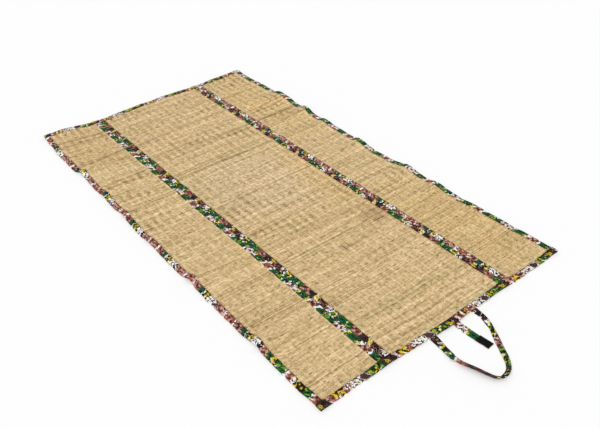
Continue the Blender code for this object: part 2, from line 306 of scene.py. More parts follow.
# How far each of the five lines wanders sideways: y and shift, in mm
WANDER = (
    (
        (-840, 3.5), (-790, 3.5), (-765, 0), (-680, -1), (-655, 0), (-610, 1.2), (-562, 1.3),
        (-548, 0), (-535, -3.4), (-510, -2.4), (-480, -1.3), (-445, -3.6), (-410, -2.3),
        (-385, -5), (-360, -4.4), (-340, -2.5), (-300, -2.9), (-272, 0), (-250, -3), (-222, -6.4),
        (-190, -7.6), (-160, -7.4), (-130, -6.1), (-100, -7.6), (-55, -4.2), (-35, -7.2),
        (-10, -7.9), (20, -11.2), (38, -9.4), (65, -7.7), (95, -7.4), (115, -5.4), (135, -3.9),
        (155, -1), (175, -5), (200, -8.1), (245, -8.6), (285, -4.2), (305, -6.9), (325, -9.6),
        (350, -8.7), (410, -5.6), (440, -6), (470, -3.5), (482, -7), (498, -15.5), (515, -16.8),
        (535, -15.8), (560, -15.2), (605, -14.3), (650, -17.8), (665, -16.1), (685, -12.8),
        (718, -9.4), (745, -11.4), (785, -8), (820, -5),
    ),
    (
        (-840, 1), (-600, 0), (-470, 0), (-390, -1), (-200, -2), (-110, -4), (50, -6), (300, -8),
        (480, -9), (560, -9), (730, -11), (820, -11),
    ),
    ((-840, 0), (-390, 0), (-200, -1), (50, -1), (300, -2), (820, -2)),
    ((-840, 1), (-600, 1), (-470, 0), (-390, 0), (-200, 1), (-110, 0), (300, 0), (480, 1),
     (560, 0), (730, 1), (820, 1)),
    (
        (-840, -3.5), (-775, -1.8), (-715, -2.4), (-702, -7.9), (-687, -8.8), (-672, -4.2),
        (-640, -4.9), (-585, -4.7), (-555, -3.2), (-520, -4.7), (-505, -6.6), (-490, -12),
        (-477, -7), (-460, -6.6), (-420, -4), (-390, -2), (-358, -3), (-340, -5.4), (-325, -5),
        (-310, -2.8), (-280, -1), (-215, 0), (-205, -1), (-190, -7.2), (-175, -10.8), (-160, -10.4),
        (-145, -9.4), (-130, -9.1), (-110, -10.3), (-85, -11.5), (-70, -8.1), (-30, -5), (20, -3),
        (50, -4.5), (80, -4.1), (110, -1.4), (140, -1.8), (180, 0), (230, 0), (260, -2), (278, 1.8),
        (300, 3.5), (330, 4), (480, 4), (560, 4), (610, 3.8), (650, 2.7), (668, 0.3), (700, 0),
        (720, -1), (745, 0), (820, -2),
    ),
)
# The handle along its middle: x, y, width and the turn of its outer side, in mm and degrees
HANDLE = (
    (-85, -826, 22, 0), (-85, -848, 22, 0), (-90, -879, 19, 2), (-95, -909, 19, 10),
    (-98, -928, 20, 17), (-95, -948, 21, 25), (-88, -969, 21, 28), (-82, -989, 21, 30),
    (-76, -1008, 20, 30), (-68, -1026, 18, 29), (-56, -1035, 15, 32), (-40, -1035, 14, 24),
    (-24, -1029, 13, 16), (-11, -1018, 14, 10), (0, -1004, 15, 6), (17, -976, 16, 3),
    (30, -954, 17, 3), (41, -936, 15, 12), (52, -917, 11, 30), (59, -901, 15, 18),
    (66, -883, 16, 10), (70, -866, 17, 3), (71, -846, 21, 0), (71, -826, 21, 0),
)
# The closing tab along its middle: x, y, width and height, in mm
CLOSING_TAB = (
    (-2, -827, 22, 1.2),
    (-2, -846, 22, 1.2),
    (-2, -866, 22, 0.0),
    (-1, -905, 22, 0.0),
    (3, -955, 22, 0.0),
)


@dataclass
class LyingMat:
    """How the whole mat lies: its wandering edges, its folds and its lifted ends."""

    flat_x: FiveLines = (-0.450, -0.231, 0.0, 0.217, 0.444)
    edge_waver: float = 0.7 * MM
    small_creases: int = 100
    swell: float = 0.5 * MM
    _y: Array = field(init=False)
    _shifts: Array = field(init=False)

    def __post_init__(self) -> None:
        """Samples the lines' sideways shifts and rounds their corners over 32 mm."""
        self._y = np.arange(-0.95, 0.95, 0.002)
        window = np.hanning(17)
        window /= window.sum()
        shifts = []
        for line, rows in enumerate(WANDER):
            table = np.array(rows, dtype=float) * MM
            sampled = np.interp(self._y, table[:, 0], table[:, 1])
            padded = np.pad(sampled, 8, mode="edge")
            rounded = np.convolve(padded, window, mode="valid")
            shifts.append(rounded + self.edge_waver * drift(70 + line, self._y, 0.045))
        self._shifts = np.array(shifts)

    def across(self, values: Iterable[float], x: Array) -> Array:
        """The value at x of something given on the five lines, eased from line to line."""
        lines, given = np.array(self.flat_x), np.array(tuple(values), dtype=float)
        left = np.clip(np.searchsorted(lines, x, side="right") - 1, 0, len(lines) - 2)
        step = eased((x - lines[left]) / (lines[left + 1] - lines[left]))
        return given[left] * (1.0 - step) + given[left + 1] * step

    def shift(self, x: Array, y: Array) -> Array:
        """How far the place (x, y) of the flat mat is shifted sideways."""
        place = np.clip((y - self._y[0]) / (self._y[1] - self._y[0]), 0, len(self._y) - 1.001)
        low = place.astype(int)
        part = place - low
        rows = self._shifts[:, low] * (1.0 - part) + self._shifts[:, low + 1] * part
        lines = np.array(self.flat_x)
        left = np.clip(np.searchsorted(lines, x, side="right") - 1, 0, len(lines) - 2)
        step = np.clip((x - lines[left]) / (lines[left + 1] - lines[left]), 0.0, 1.0)
        here = np.take_along_axis(rows, left[None], axis=0)[0]
        beyond = np.take_along_axis(rows, left[None] + 1, axis=0)[0]
        return here * (1.0 - step) + beyond * step

    def end_line(self, end: MatEnd, x: Array) -> Array:
        """Where an end of the mat lies along Y, at x."""
        return self.across(end.y, x) * MM + end.inward * end.waved(x, 2)

    def from_end(self, end: MatEnd, x: Array, y: Array) -> Array:
        """How far (x, y) is in from an end."""
        return (y - self.end_line(end, x)) * end.inward

    def from_both(self, x: Array, y: Array) -> tuple[Array, Array]:
        """How far (x, y) is in from the near end and from the far one."""
        return self.from_end(NEAR_END, x, y), self.from_end(FAR_END, x, y)

    def inside(self, x: Array, y: Array, start: float, over: float) -> Array:
        """How far inside both ends (x, y) is, eased from 0 at start to 1 so much further in."""
        near, far = self.from_both(x, y)
        return eased((near - start) / over) * eased((far - start) / over)

    def end_lift(self, end: MatEnd, x: Array, y: Array) -> Array:
        """The lift of an end at (x, y).

        It falls in a line to the kept share at the end tape's inner side, and from there as the
        rest of the reach to the power 1.5.
        """
        distance = np.clip(self.from_end(end, x, y), 0.0, None)
        reach = end.reach * MM
        rest = np.clip((reach - distance) / (reach - TAPE_WIDTH), 0.0, 1.0)
        share = np.where(
            distance < TAPE_WIDTH,
            1.0 - (1.0 - end.kept) * distance / TAPE_WIDTH,
            end.kept * rest**1.5,
        )
        return (self.across(end.lift, x) * MM + end.waved(x, 3)) * share

    def fold_lift(self, fold: Fold, x: Array, y: Array) -> Array:
        """The height of a fold at (x, y): a tent with a narrow rounded crest and eased feet."""
        beyond = y - self.across(fold.y, x) * MM
        at_right = self.across((0.0, 0.0, 0.0, 0.0, 1.0), x)
        half_width = (fold.half_width + (fold.right_width - fold.half_width) * at_right) * MM
        reach = beyond / (half_width * (1.0 - fold.lean * at_right * np.sign(beyond)))
        round_off = 0.14 + 0.12 * at_right
        slope = (np.sqrt(reach**2 + round_off**2) - round_off) / (
            np.sqrt(1.0 + round_off**2) - round_off
        )
        tent = np.clip(1.0 - slope, 0.0, 1.0)
        return self.across(fold.crest, x) * MM * (0.45 * tent + 0.55 * eased(tent))

    def minor_lift(self, x: Array, y: Array) -> Array:
        """Many small creases along the rushes, each a low ridge over part of the width.

        A crease is height times (1 - |t|) eased across it, times an eased window along it.
        """
        draw = np.random.default_rng(11)
        total = np.zeros(np.broadcast(x, y).shape)
        for _ in range(self.small_creases):
            start = draw.uniform(-0.52, 0.36)
            length = draw.uniform(0.08, 0.42)
            place, slant = draw.uniform(-0.82, 0.79), draw.normal(0.0, 0.012)
            height, half_width = draw.uniform(0.08, 0.32) * MM, draw.uniform(6.0, 14.0) * MM
            t = np.abs(y - place - slant * (x - start)) / half_width
            window = eased((x - start) / 0.05) * eased((start + length - x) / 0.05)
            total += height * eased(1.0 - t) * window
        return total

    def lift(self, x: Array, y: Array) -> Array:
        """The height of the mat's underside over the floor at (x, y) of the flat mat."""
        x, y = np.broadcast_arrays(x, y)
        total = self.end_lift(NEAR_END, x, y) + self.end_lift(FAR_END, x, y)
        for fold in FOLDS:
            total = total + self.fold_lift(fold, x, y)
        inside = self.inside(x, y, 0.03, 0.03)
        swell = 0.5 + 0.5 * mottle(5, x, y, 0.16, 0.07)
        return total + inside * (self.minor_lift(x, y) + self.swell * swell)

    def painted_crease_shade(self, x: Array, y: Array) -> Array:
        """How much painted shade falls along the creases at (x, y).

        Each is a bell across it, darkness times exp(-(distance / half width)^2), broken along it
        and fading out over 20 mm beyond its ends.
        """
        x, y = np.broadcast_arrays(x, y)
        total = np.zeros(x.shape)
        fading = 20.0 * MM
        for number, crease in enumerate(CREASE_SHADES):
            points = np.array(crease.path)
            at_x, at_y = points[:, 0] * MM, points[:, 1] * MM
            waver = 1.4 * MM * drift(300 + number, x, 0.04)
            distance = (y - np.interp(x, at_x, at_y) - waver) / (crease.half_width * MM)
            broken = np.clip(1.0 + 0.7 * drift(360 + number, x, 0.013), 0.2, 1.6)
            ends = eased((x - at_x[0]) / fading + 1.0) * eased((at_x[-1] - x) / fading + 1.0)
            dark = np.interp(x, at_x, points[:, 2]) * broken * ends
            total += dark * np.exp(-(distance**2))
        return np.clip(total, 0.0, 1.4)

    def tapes_under(self, x: Array) -> Array:
        """How much of a long tape's lower layer lies under the mat at x, from 0 to 1."""
        edges = np.array(self.flat_x)[[0, 1, 3, 4]]
        distance = np.min(np.abs(np.asarray(x)[..., None] - edges), axis=-1)
        return 1.0 - eased((distance - TAPE_WIDTH) / SAG_WIDTH)

    def ends_under(self, x: Array, y: Array) -> Array:
        """How much of an end tape's lower layer lies under the mat at (x, y), from 0 to 1."""
        return 1.0 - eased((np.minimum(*self.from_both(x, y)) - TAPE_WIDTH) / SAG_WIDTH)

    def place(self, x: Array, y: Array, height: Array) -> Array:
        """Where a point lies that is at (x, y) of the flat mat and so high above its underside.

        Args:
            x, y: the place on the flat mat.
            height: the height above the mat's underside there.

        Returns:
            Points with their x, y and z in the last axis.
        """
        x, y, height = np.broadcast_arrays(x, y, height)
        return np.stack((x + self.shift(x, y), y, self.lift(x, y) + height), axis=-1)


def signed_volume(points: Array, quads: Array) -> float:
    """The volume inside a closed shell, below zero if its faces point inwards."""
    a, b, c, d = (points[quads[:, corner]] for corner in range(4))
    first = np.einsum("ij,ij->i", a, np.cross(b, c))
    second = np.einsum("ij,ij->i", a, np.cross(c, d))
    return float((first + second).sum() / 6.0)


def finished_piece(
    name: str,
    points: Array,
    faces: list[list[int]],
    corner_uv: Array,
    material: bpy.types.Material,
    crease_shades: Array | None = None,
) -> Piece:
    """Makes an object of points and faces, smooth shaded, with its UV map and its painted crease
    shade.

    Args:
        name: the piece's name.
        points: one row for each vertex.
        faces: the vertices of each face, turning anticlockwise seen from outside.
        corner_uv: one row for each corner of each face, in order.
        material: its finish.
        crease_shades: how much painted shade falls along a crease at each vertex.

    Returns:
        The object, at the origin.
    """
    mesh = bpy.data.meshes.new(name)
    mesh.from_pydata(points.tolist(), [], faces)
    layer = mesh.uv_layers.new(name=CLOTH_UV)
    layer.data.foreach_set("uv", np.ascontiguousarray(corner_uv, dtype=np.float32).ravel())
    if crease_shades is not None:
        mark = mesh.attributes.new(CREASE_SHADE_ATTRIBUTE, "FLOAT", "POINT")
        mark.data.foreach_set("value", np.ascontiguousarray(crease_shades, dtype=np.float32).ravel())
    mesh.polygons.foreach_set("use_smooth", np.ones(len(mesh.polygons), dtype=bool))
    mesh.materials.append(material)
    mesh.validate()
    mesh.update()
    piece = bpy.data.objects.new(name, mesh)
    bpy.context.scene.collection.objects.link(piece)
    return piece


def ring_quads(count: int, ring: int) -> tuple[Array, Array, Array]:
    """The quads that join neighbouring rings of points, and each one's ring and point."""
    i, j = np.meshgrid(np.arange(count - 1), np.arange(ring), indexing="ij")
    i, j = i.ravel(), j.ravel()
    low, high, after = i * ring, (i + 1) * ring, (j + 1) % ring
    return np.stack((low + j, high + j, high + after, low + after), 1), i, j


def skinned(
    name: str,
    rings: Array,
    across: Array,
    along: Array,
    material: bpy.types.Material,
    crease_shades: Array | None = None,
) -> Piece:
    """A closed skin through rings of points, with its two ends capped.

    Vertex (i, j) is point j of ring i, and each quad joins two neighbours of two rings. The
    shell is turned so that its volume is above zero.

    Args:
        name: the piece's name.
        rings: points in an array of rings, points and x, y and z.
        across: the first UV coordinate of each point of a ring, and of the first one again.
        along: the second UV coordinate of each ring.
        material: its finish.
        crease_shades: how much painted shade falls along a crease at each point of each ring.

    Returns:
        The object.
    """
    count, ring = rings.shape[:2]
    quads, i, j = ring_quads(count, ring)
    u = np.stack((across[j], across[j], across[j + 1], across[j + 1]), 1)
    v = np.stack((along[i], along[i + 1], along[i + 1], along[i]), 1)
    points = rings.reshape(-1, 3)
    first, last = list(range(ring)), list(range(count * ring - 1, (count - 1) * ring - 1, -1))
    if signed_volume(points, quads) < 0.0:
        quads, u, v = quads[:, ::-1], u[:, ::-1], v[:, ::-1]
        first, last = first[::-1], last[::-1]
    cap_u = np.concatenate((across[np.array(first)], across[np.array(last) % ring]))
    cap_v = np.repeat((along[0], along[-1]), ring)
    uv = np.concatenate(
        (np.stack((u.ravel(), v.ravel()), 1), np.stack((cap_u, cap_v), 1)), axis=0
    )
    return finished_piece(name, points, quads.tolist() + [first, last], uv, material, crease_shades)


def copies(
    name: str,
    shape: Array,
    middle: Array,
    along: Array,
    side: Array,
    up: Array,
    material: bpy.types.Material,
) -> Piece:
    """One mesh of many small copies of a closed skin.

    A copy's point is its middle plus along, side and up times the shape's three coordinates.

    Args:
        name: the piece's name.
        shape: rings of points of the small shape.
        middle, along, side, up: one row for each copy.
        material: its finish.

    Returns:
        The object.
    """
    stations, ring = shape.shape[:2]
    local = shape.reshape(-1, 3)
    points = (
        middle[:, None]
        + along[:, None] * local[None, :, 0:1]
        + side[:, None] * local[None, :, 1:2]
        + up[:, None] * local[None, :, 2:3]
    )
    quads, _, _ = ring_quads(stations, ring)
    caps = np.array((range(ring), range(stations * ring - 1, (stations - 1) * ring - 1, -1)))
    if signed_volume(points[0], quads) < 0.0:
        quads, caps = quads[:, ::-1], caps[:, ::-1]
    starts = (np.arange(len(middle)) * len(local))[:, None, None]
    faces = (quads[None] + starts).reshape(-1, 4).tolist()
    faces += (caps[None] + starts).reshape(-1, ring).tolist()
    flat = points.reshape(-1, 3)
    sides = len(middle) * len(quads)
    corners = np.concatenate((np.array(faces[:sides]).ravel(), np.array(faces[sides:]).ravel()))
    uv = local[corners % len(local)][:, :2]
    return finished_piece(name, flat, faces, uv, material)


def thread_arc(length: float, radius: float, rise: float, stations: int = 5) -> Array:
    """The small arc that a stitch shows: a three-sided thread along half a sine wave.

    Args:
        length: from where it goes into the cloth to where it comes out.
        radius: of the thread.
        rise: how high its middle stands over its ends.
        stations: how many rings.

    Returns:
        Rings of points, with x along the stitch, y to its side and z up.
    """
    t = np.linspace(0.0, 1.0, stations)
    angle = np.radians((90.0, 210.0, 330.0))
    thick = radius * (0.55 + 0.45 * np.sin(np.pi * t))
    x = np.repeat(((t - 0.5) * length)[:, None], 3, axis=1)
    y = thick[:, None] * np.cos(angle)
    z = (rise * np.sin(np.pi * t) - radius)[:, None] + thick[:, None] * np.sin(angle)
    return np.stack((x, y, z), axis=-1)


def unit(rows: Array) -> Array:
    """Each row over its length."""
    return rows / np.linalg.norm(rows, axis=-1, keepdims=True)


def run_along(points: Array) -> Array:
    """How far each point is along the line through them all."""
    return np.concatenate(((0.0,), np.cumsum(np.linalg.norm(np.diff(points, axis=0), axis=1))))


class SocketKind(Enum):
    """The kinds of socket that a shared effect has."""

    VALUE = "NodeSocketFloat"
    COLOUR = "NodeSocketColor"


@dataclass
class Wiring:
    """Short calls that add nodes to one node tree and join them."""

    tree: bpy.types.NodeTree

    def add(self, kind: str, **settings: object) -> Node:
        """A new node of a kind, with its settings."""
        node = self.tree.nodes.new(kind)
        for name, value in settings.items():
            setattr(node, name, value)
        return node

    def feed(self, socket: Socket, value: object) -> None:
        """Joins a socket to another one, or sets it to a value."""
        if isinstance(value, bpy.types.NodeSocket):
            self.tree.links.new(value, socket)
        elif value is not None:
            socket.default_value = value

    def math(self, operation: str, *values: object) -> Socket:
        """The result of a math node."""
        node = self.add("ShaderNodeMath", operation=operation)
        for socket, value in zip(node.inputs, values):
            self.feed(socket, value)
        return node.outputs[0]

    def minus(self, value: object, other: object) -> Socket:
        """A value less another."""
        return self.math("SUBTRACT", value, other)

    def add_up(self, *values: object) -> Socket:
        """The sum of two values or more."""
        total = values[0]
        for value in values[1:]:
            total = self.math("ADD", total, value)
        return total

    def times(self, *values: object) -> Socket:
        """The product of two values or more."""
        total = values[0]
        for value in values[1:]:
            total = self.math("MULTIPLY", total, value)
        return total

    def point(self, x: object, y: object) -> Socket:
        """The vector (x, y, 0)."""
        node = self.add("ShaderNodeCombineXYZ")
        for socket, value in zip(node.inputs, (x, y)):
            self.feed(socket, value)
        return node.outputs[0]

    def split(self, vector: Socket) -> tuple[Socket, Socket, Socket]:
        """The three values of a vector."""
        node = self.add("ShaderNodeSeparateXYZ")
        self.feed(node.inputs[0], vector)
        return tuple(node.outputs)

    def noise(self, x: object, y: object, detail: float = 2.0, rough: float = 0.5) -> Socket:
        """Noise from 0 to 1 about 0.5, read at (x, y)."""
        node = self.add("ShaderNodeTexNoise", noise_dimensions="2D")
        self.feed(node.inputs["Vector"], self.point(x, y))
        node.inputs["Scale"].default_value = 1.0
        node.inputs["Detail"].default_value = detail
        node.inputs["Roughness"].default_value = rough
        return node.outputs[0]

    def chance(self, x: object, y: object) -> tuple[Socket, Socket]:
        """A random value and colour for each whole (x, y)."""
        node = self.add("ShaderNodeTexWhiteNoise", noise_dimensions="2D")
        self.feed(node.inputs["Vector"], self.point(x, y))
        return node.outputs["Value"], node.outputs["Color"]

    def rise(self, value: object, low: object, high: object) -> Socket:
        """An eased step from 0 where value is low to 1 where it is high."""
        node = self.add("ShaderNodeMapRange", interpolation_type="SMOOTHSTEP")
        for name, given in (("Value", value), ("From Min", low), ("From Max", high)):
            self.feed(node.inputs[name], given)
        return node.outputs[0]

    def spread(self, value: object, low: float, high: float) -> Socket:
        """A value from 0 to 1 spread between low and high."""
        return self.math("MULTIPLY_ADD", value, high - low, low)

    def blend(self, share: object, base: object, other: object, how: str = "MIX") -> Socket:
        """A mix of two colours."""
        node = self.add("ShaderNodeMix", data_type="RGBA", blend_type=how)
        for index, value in ((0, share), (6, base), (7, other)):
            self.feed(node.inputs[index], value)
        return node.outputs[2]

    def ramp(
        self, value: Socket, stops: Sequence[tuple[float, Colour]], stepped: bool = False
    ) -> tuple[Socket, Socket]:
        """The colour and the alpha of a colour ramp."""
        node = self.add("ShaderNodeValToRGB")
        self.feed(node.inputs[0], value)
        ramp = node.color_ramp
        ramp.interpolation = "CONSTANT" if stepped else "LINEAR"
        while len(ramp.elements) < len(stops):
            ramp.elements.new(1.0)
        for element, (place, colour) in zip(ramp.elements, stops):
            element.position = place
            element.color = colour
        return node.outputs[0], node.outputs[1]

    def surface(self) -> tuple[Socket, Socket]:
        """The place on the piece's own cloth, in metres across and along."""
        node = self.add("ShaderNodeUVMap", uv_map=CLOTH_UV)
        x, y, _ = self.split(node.outputs[0])
        return x, y

    def mark(self) -> Socket:
        """How much painted shade falls along a crease here."""
        node = self.add("ShaderNodeAttribute", attribute_name=CREASE_SHADE_ATTRIBUTE)
        return node.outputs["Fac"]

    def bump(self, height: Socket, depth: float) -> Socket:
        """A normal bent by a height from 0 to 1, which stands for depth in metres."""
        node = self.add("ShaderNodeBump")
        node.inputs["Distance"].default_value = depth
        self.feed(node.inputs["Height"], height)
        return node.outputs[0]


class SharedEffect:
    """A node group with named sockets, built once and placed in any material."""

    def __init__(
        self,
        name: str,
        takes: dict[str, SocketKind],
        gives: dict[str, SocketKind],
        build: Callable[[Wiring, dict[str, Socket]], dict[str, Socket]],
    ) -> None:
        """Makes the group and has build fill it.

        Args:
            name: the group's name.
            takes: its inputs.
            gives: its outputs.
            build: adds the nodes, given the inputs, and returns what feeds each output.
        """
        self.tree = bpy.data.node_groups.new(name, "ShaderNodeTree")
        for socket, kind in takes.items():
            self.tree.interface.new_socket(socket, in_out="INPUT", socket_type=kind.value)
        for socket, kind in gives.items():
            self.tree.interface.new_socket(socket, in_out="OUTPUT", socket_type=kind.value)
        wiring = Wiring(self.tree)
        given = wiring.add("NodeGroupInput")
        result = wiring.add("NodeGroupOutput")
        made = build(wiring, {socket: given.outputs[socket] for socket in takes})
        for socket in gives:
            wiring.feed(result.inputs[socket], made[socket])

    def place(self, wiring: Wiring, **values: object) -> dict[str, Socket]:
        """Adds the group to a tree.

        Args:
            wiring: of the tree.
            values: what feeds each input.

        Returns:
            The group's outputs by name.
        """
        node = wiring.add("ShaderNodeGroup", node_tree=self.tree)
        for name, value in values.items():
            wiring.feed(node.inputs[name], value)
        return {socket.name: socket for socket in node.outputs}


def weave_of_rushes(w: Wiring, given: dict[str, Socket]) -> dict[str, Socket]:
    """Rushes across, one after another along the cloth, over and under strings along it.

    A rush is the whole part of the distance along over its pitch, and a string the nearest whole
    number of the distance across over its own. Where their sum is odd the string lies on top.
    """
    across, along = given["Across"], given["Along"]
    row = w.math("DIVIDE", along, RUSH_PITCH)
    rush = w.math("FLOOR", row)
    place = w.math("FRACT", row)
    column = w.math("DIVIDE", across, STRING_PITCH)
    string = w.math("ROUND", column)
    off = w.math("ABSOLUTE", w.minus(column, string))
    odd = w.times(w.math("FRACT", w.times(w.math("ADD", rush, string), 0.5)), 2.0)

    piece, _ = w.chance(rush, 3.0)
    stretch = w.math("FLOOR", w.math("MULTIPLY_ADD", across, 2.6, w.times(piece, 9.0)))
    shade, hue = w.chance(rush, stretch)
    streak = w.noise(w.times(across, 42.0), w.times(rush, 1.7), 3.0, 0.6)
    grain = w.noise(w.times(across, 68.0), w.times(along, 360.0), 2.0, 0.6)
    band = w.noise(w.times(across, 1.6), w.times(along, 24.0), 3.0, 0.55)
    cells = w.noise(w.times(across, 95.0), w.times(along, 125.0), 2.0, 0.6)
    patches = w.noise(w.times(across, 34.0), w.times(along, 60.0), 2.0, 0.55)
    lean = w.rise(w.noise(w.times(across, 3.5), w.times(along, 17.0), 1.0), 0.40, 0.58)
    lines = w.noise(w.times(across, 3.0), w.times(along, 70.0), 1.0)
    pair = w.math("ABSOLUTE", w.minus(w.math("FRACT", w.times(column, 0.5)), 0.5))
    drawn = w.rise(w.noise(w.times(across, 6.0), w.times(along, 9.0), 2.0), 0.32, 0.52)
    # Painted highlight along the raised even strings
    raised_highlight = w.times(w.rise(pair, 0.42, 0.48), drawn)
    tufts = w.rise(w.noise(w.times(across, 14.0), w.times(along, 26.0), 2.0), 0.32, 0.58)
    # Painted shade in the sunk cells at the odd strings
    sunk_shade = w.times(w.rise(pair, 0.22, 0.08), lean, tufts)
    zone = w.rise(w.noise(w.times(across, 1.4), w.times(along, 2.6), 1.0), 0.38, 0.62)
    far = w.rise(along, 0.5, 1.1)
    zone = w.math("MULTIPLY_ADD", far, 0.50, w.spread(zone, 0.15, 0.75))
    # The straw's own random tone, with the painted highlight and shade of the weave
    tone_and_shade = w.add_up(
        w.spread(shade, -0.05, 0.05),
        w.spread(streak, -0.08, 0.08),
        w.spread(grain, -0.54, 0.54),
        w.spread(band, -0.06, 0.06),
        w.spread(lines, -0.07, 0.07),
        w.times(w.spread(cells, -0.54, 0.54), w.spread(far, 1.0, 1.2)),
        w.spread(patches, -0.34, 0.34),
        w.times(raised_highlight, w.spread(far, 0.27, 0.34)),
        w.times(sunk_shade, zone, -0.40),
    )

    thread = w.minus(1.0, w.rise(off, 0.05, 0.13))
    seen = w.rise(w.noise(w.times(across, 31.0), w.times(along, 47.0), 2.0), 0.38, 0.6)
    fleck = w.times(thread, odd, w.spread(seen, 0.25, 1.0))

    cell = w.math("FLOOR", w.math("MULTIPLY_ADD", across, 125.0, w.times(piece, 1.0)))
    draw, _ = w.chance(cell, w.math("ADD", rush, 0.5))
    crowd = w.rise(w.noise(w.times(across, 2.2), w.times(along, 30.0), 2.0), 0.45, 0.72)
    likely = w.add_up(w.times(crowd, 0.014), w.times(sunk_shade, 0.05))
    gap = w.math("GREATER_THAN", draw, w.minus(0.998, likely))
    gap = w.times(gap, w.rise(w.math("ABSOLUTE", w.minus(place, 0.5)), 0.42, 0.22))
    # Painted shade in the groove between one rush and the next
    groove_shade = w.minus(1.0, w.math("SINE", w.times(place, np.pi)))

    fibre = w.noise(w.times(across, 130.0), w.times(along, 5200.0), 2.0)
    return {
        "Tone": tone_and_shade, "Shade": shade, "Hue": hue, "Fleck": fleck, "Gap": gap, "Trough": groove_shade,
        "Fibre": fibre,
    }


def blocks_of_print(w: Wiring, given: dict[str, Socket]) -> dict[str, Socket]:
    """What a hand-block print is drawn with: the place in the repeat, and the fills of a block.

    The place in the repeat is the distance along over the repeat, bent by noise and slanted, less
    its whole part. Leaves are noise, brush strokes slanting stripes and veins the thin lines
    where a second noise is near its middle.
    """
    across, along = given["Across"], given["Along"]
    bend = w.noise(w.times(across, 70.0), w.times(along, 60.0), 2.0, 0.6)
    bent = w.math("MULTIPLY_ADD", w.minus(bend, 0.5), 0.026, along)
    slanted = w.math("MULTIPLY_ADD", across, 0.30, bent)
    phase = w.math("FRACT", w.math("DIVIDE", slanted, given["Repeat"]))
    leaf = w.noise(w.times(across, 105.0), w.times(along, 82.0), 1.0, 0.4)
    spot = w.noise(w.math("MULTIPLY_ADD", across, 120.0, 31.0), w.times(along, 95.0), 0.0)
    skew = w.add_up(w.times(along, 88.0), w.times(across, 80.0), w.times(bend, 2.2))
    stroke = w.math("FRACT", skew)
    vein_field = w.noise(w.math("MULTIPLY_ADD", across, 60.0, 17.0), w.times(along, 62.0), 0.0)
    vein = w.math("ABSOLUTE", w.minus(vein_field, 0.5))
    fleck = w.noise(w.math("MULTIPLY_ADD", across, 125.0, 53.0), w.times(along, 112.0), 0.0)
    return {
        "Phase": phase, "Leaf": leaf, "Spot": spot, "Stroke": stroke, "Vein": vein, "Fleck": fleck
    }


def petals_of_print(w: Wiring, given: dict[str, Socket]) -> dict[str, Socket]:
    """One flower of the print: petals about a heart, in a thin ring.

    At a distance r from the flower's middle, over its radius, and an angle a, the petals end where
    r is 0.62 plus 0.42 times the cosine of a times their number.
    """
    dx = w.times(w.minus(given["Phase"], given["Place"]), given["Repeat"])
    dy = w.minus(given["Across"], given["Middle"])
    far = w.math("SQRT", w.add_up(w.times(dx, dx), w.times(dy, dy)))
    far = w.math("DIVIDE", far, given["Radius"])
    turn = w.math("COSINE", w.times(w.math("ARCTAN2", dy, dx), given["Petals"]))
    over = w.minus(far, w.math("MULTIPLY_ADD", turn, 0.42, 0.62))
    return {
        "Petal": w.minus(1.0, w.rise(over, -0.03, 0.03)),
        "Ring": w.minus(1.0, w.rise(over, 0.12, 0.18)),
        "Heart": w.minus(1.0, w.rise(far, 0.18, 0.26)),
    }


def plain_weave(w: Wiring, given: dict[str, Socket]) -> dict[str, Socket]:
    """Fine plain weave: the higher of two rows of threads, swapped from square to square."""
    count = given["Threads"]
    x, y = w.times(given["Across"], count), w.times(given["Along"], count)
    warp = w.math("ABSOLUTE", w.math("SINE", w.times(x, np.pi)))
    weft = w.math("ABSOLUTE", w.math("SINE", w.times(y, np.pi)))
    square = w.add_up(w.math("FLOOR", x), w.math("FLOOR", y))
    swap = w.times(w.math("FRACT", w.times(square, 0.5)), 2.0)
    height = w.add_up(w.times(warp, swap), w.times(weft, w.minus(1.0, swap)))
    slub = w.noise(w.times(given["Across"], 260.0), w.times(given["Along"], 900.0), 3.0)
    fade = w.noise(w.times(given["Across"], 30.0), w.times(given["Along"], 22.0), 3.0, 0.6)
    return {"Height": height, "Slub": slub, "Fade": fade}


def values(*names: str) -> dict[str, SocketKind]:
    """Sockets of these names, each a plain value."""
    return dict.fromkeys(names, SocketKind.VALUE)


@dataclass
class Effects:
    """The shared effects that the finishes use."""

    rushes: SharedEffect = field(init=False)
    print: SharedEffect = field(init=False)
    flower: SharedEffect = field(init=False)
    cloth: SharedEffect = field(init=False)

    def __post_init__(self) -> None:
        """Builds each group."""
        place = values("Across", "Along")
        self.rushes = SharedEffect(
            "Rush weave",
            place,
            values("Tone", "Shade")
            | {"Hue": SocketKind.COLOUR}
            | values("Fleck", "Gap", "Trough", "Fibre"),
            weave_of_rushes,
        )
        self.print = SharedEffect(
            "Block print",
            place | values("Repeat"),
            values("Phase", "Leaf", "Spot", "Stroke", "Vein", "Fleck"),
            blocks_of_print,
        )
        self.flower = SharedEffect(
            "Printed flower",
            values("Phase", "Repeat", "Across", "Place", "Middle", "Radius", "Petals"),
            values("Petal", "Ring", "Heart"),
            petals_of_print,
        )
        self.cloth = SharedEffect(
            "Plain weave", place | values("Threads"), values("Height", "Slub", "Fade"), plain_weave
        )


def new_material(name: str) -> tuple[bpy.types.Material, Wiring, Node]:
    """A material of that name, its wiring and its shader."""
    material = bpy.data.materials.new(name)
    material.use_nodes = True
    return material, Wiring(material.node_tree), material.node_tree.nodes["Principled BSDF"]


@dataclass(frozen=True)
class Blemish:
    """A stain, slit or speck of one panel: where it is, its reach each way and its colour."""

    x: float
    y: float
    reach_x: float
    reach_y: float
    colour: Colour
    strength: float

    def how(self) -> str:
        """Broad ones tint the straw, and small ones cover it."""
        return "MULTIPLY" if min(self.reach_x, self.reach_y) > 0.02 else "MIX"


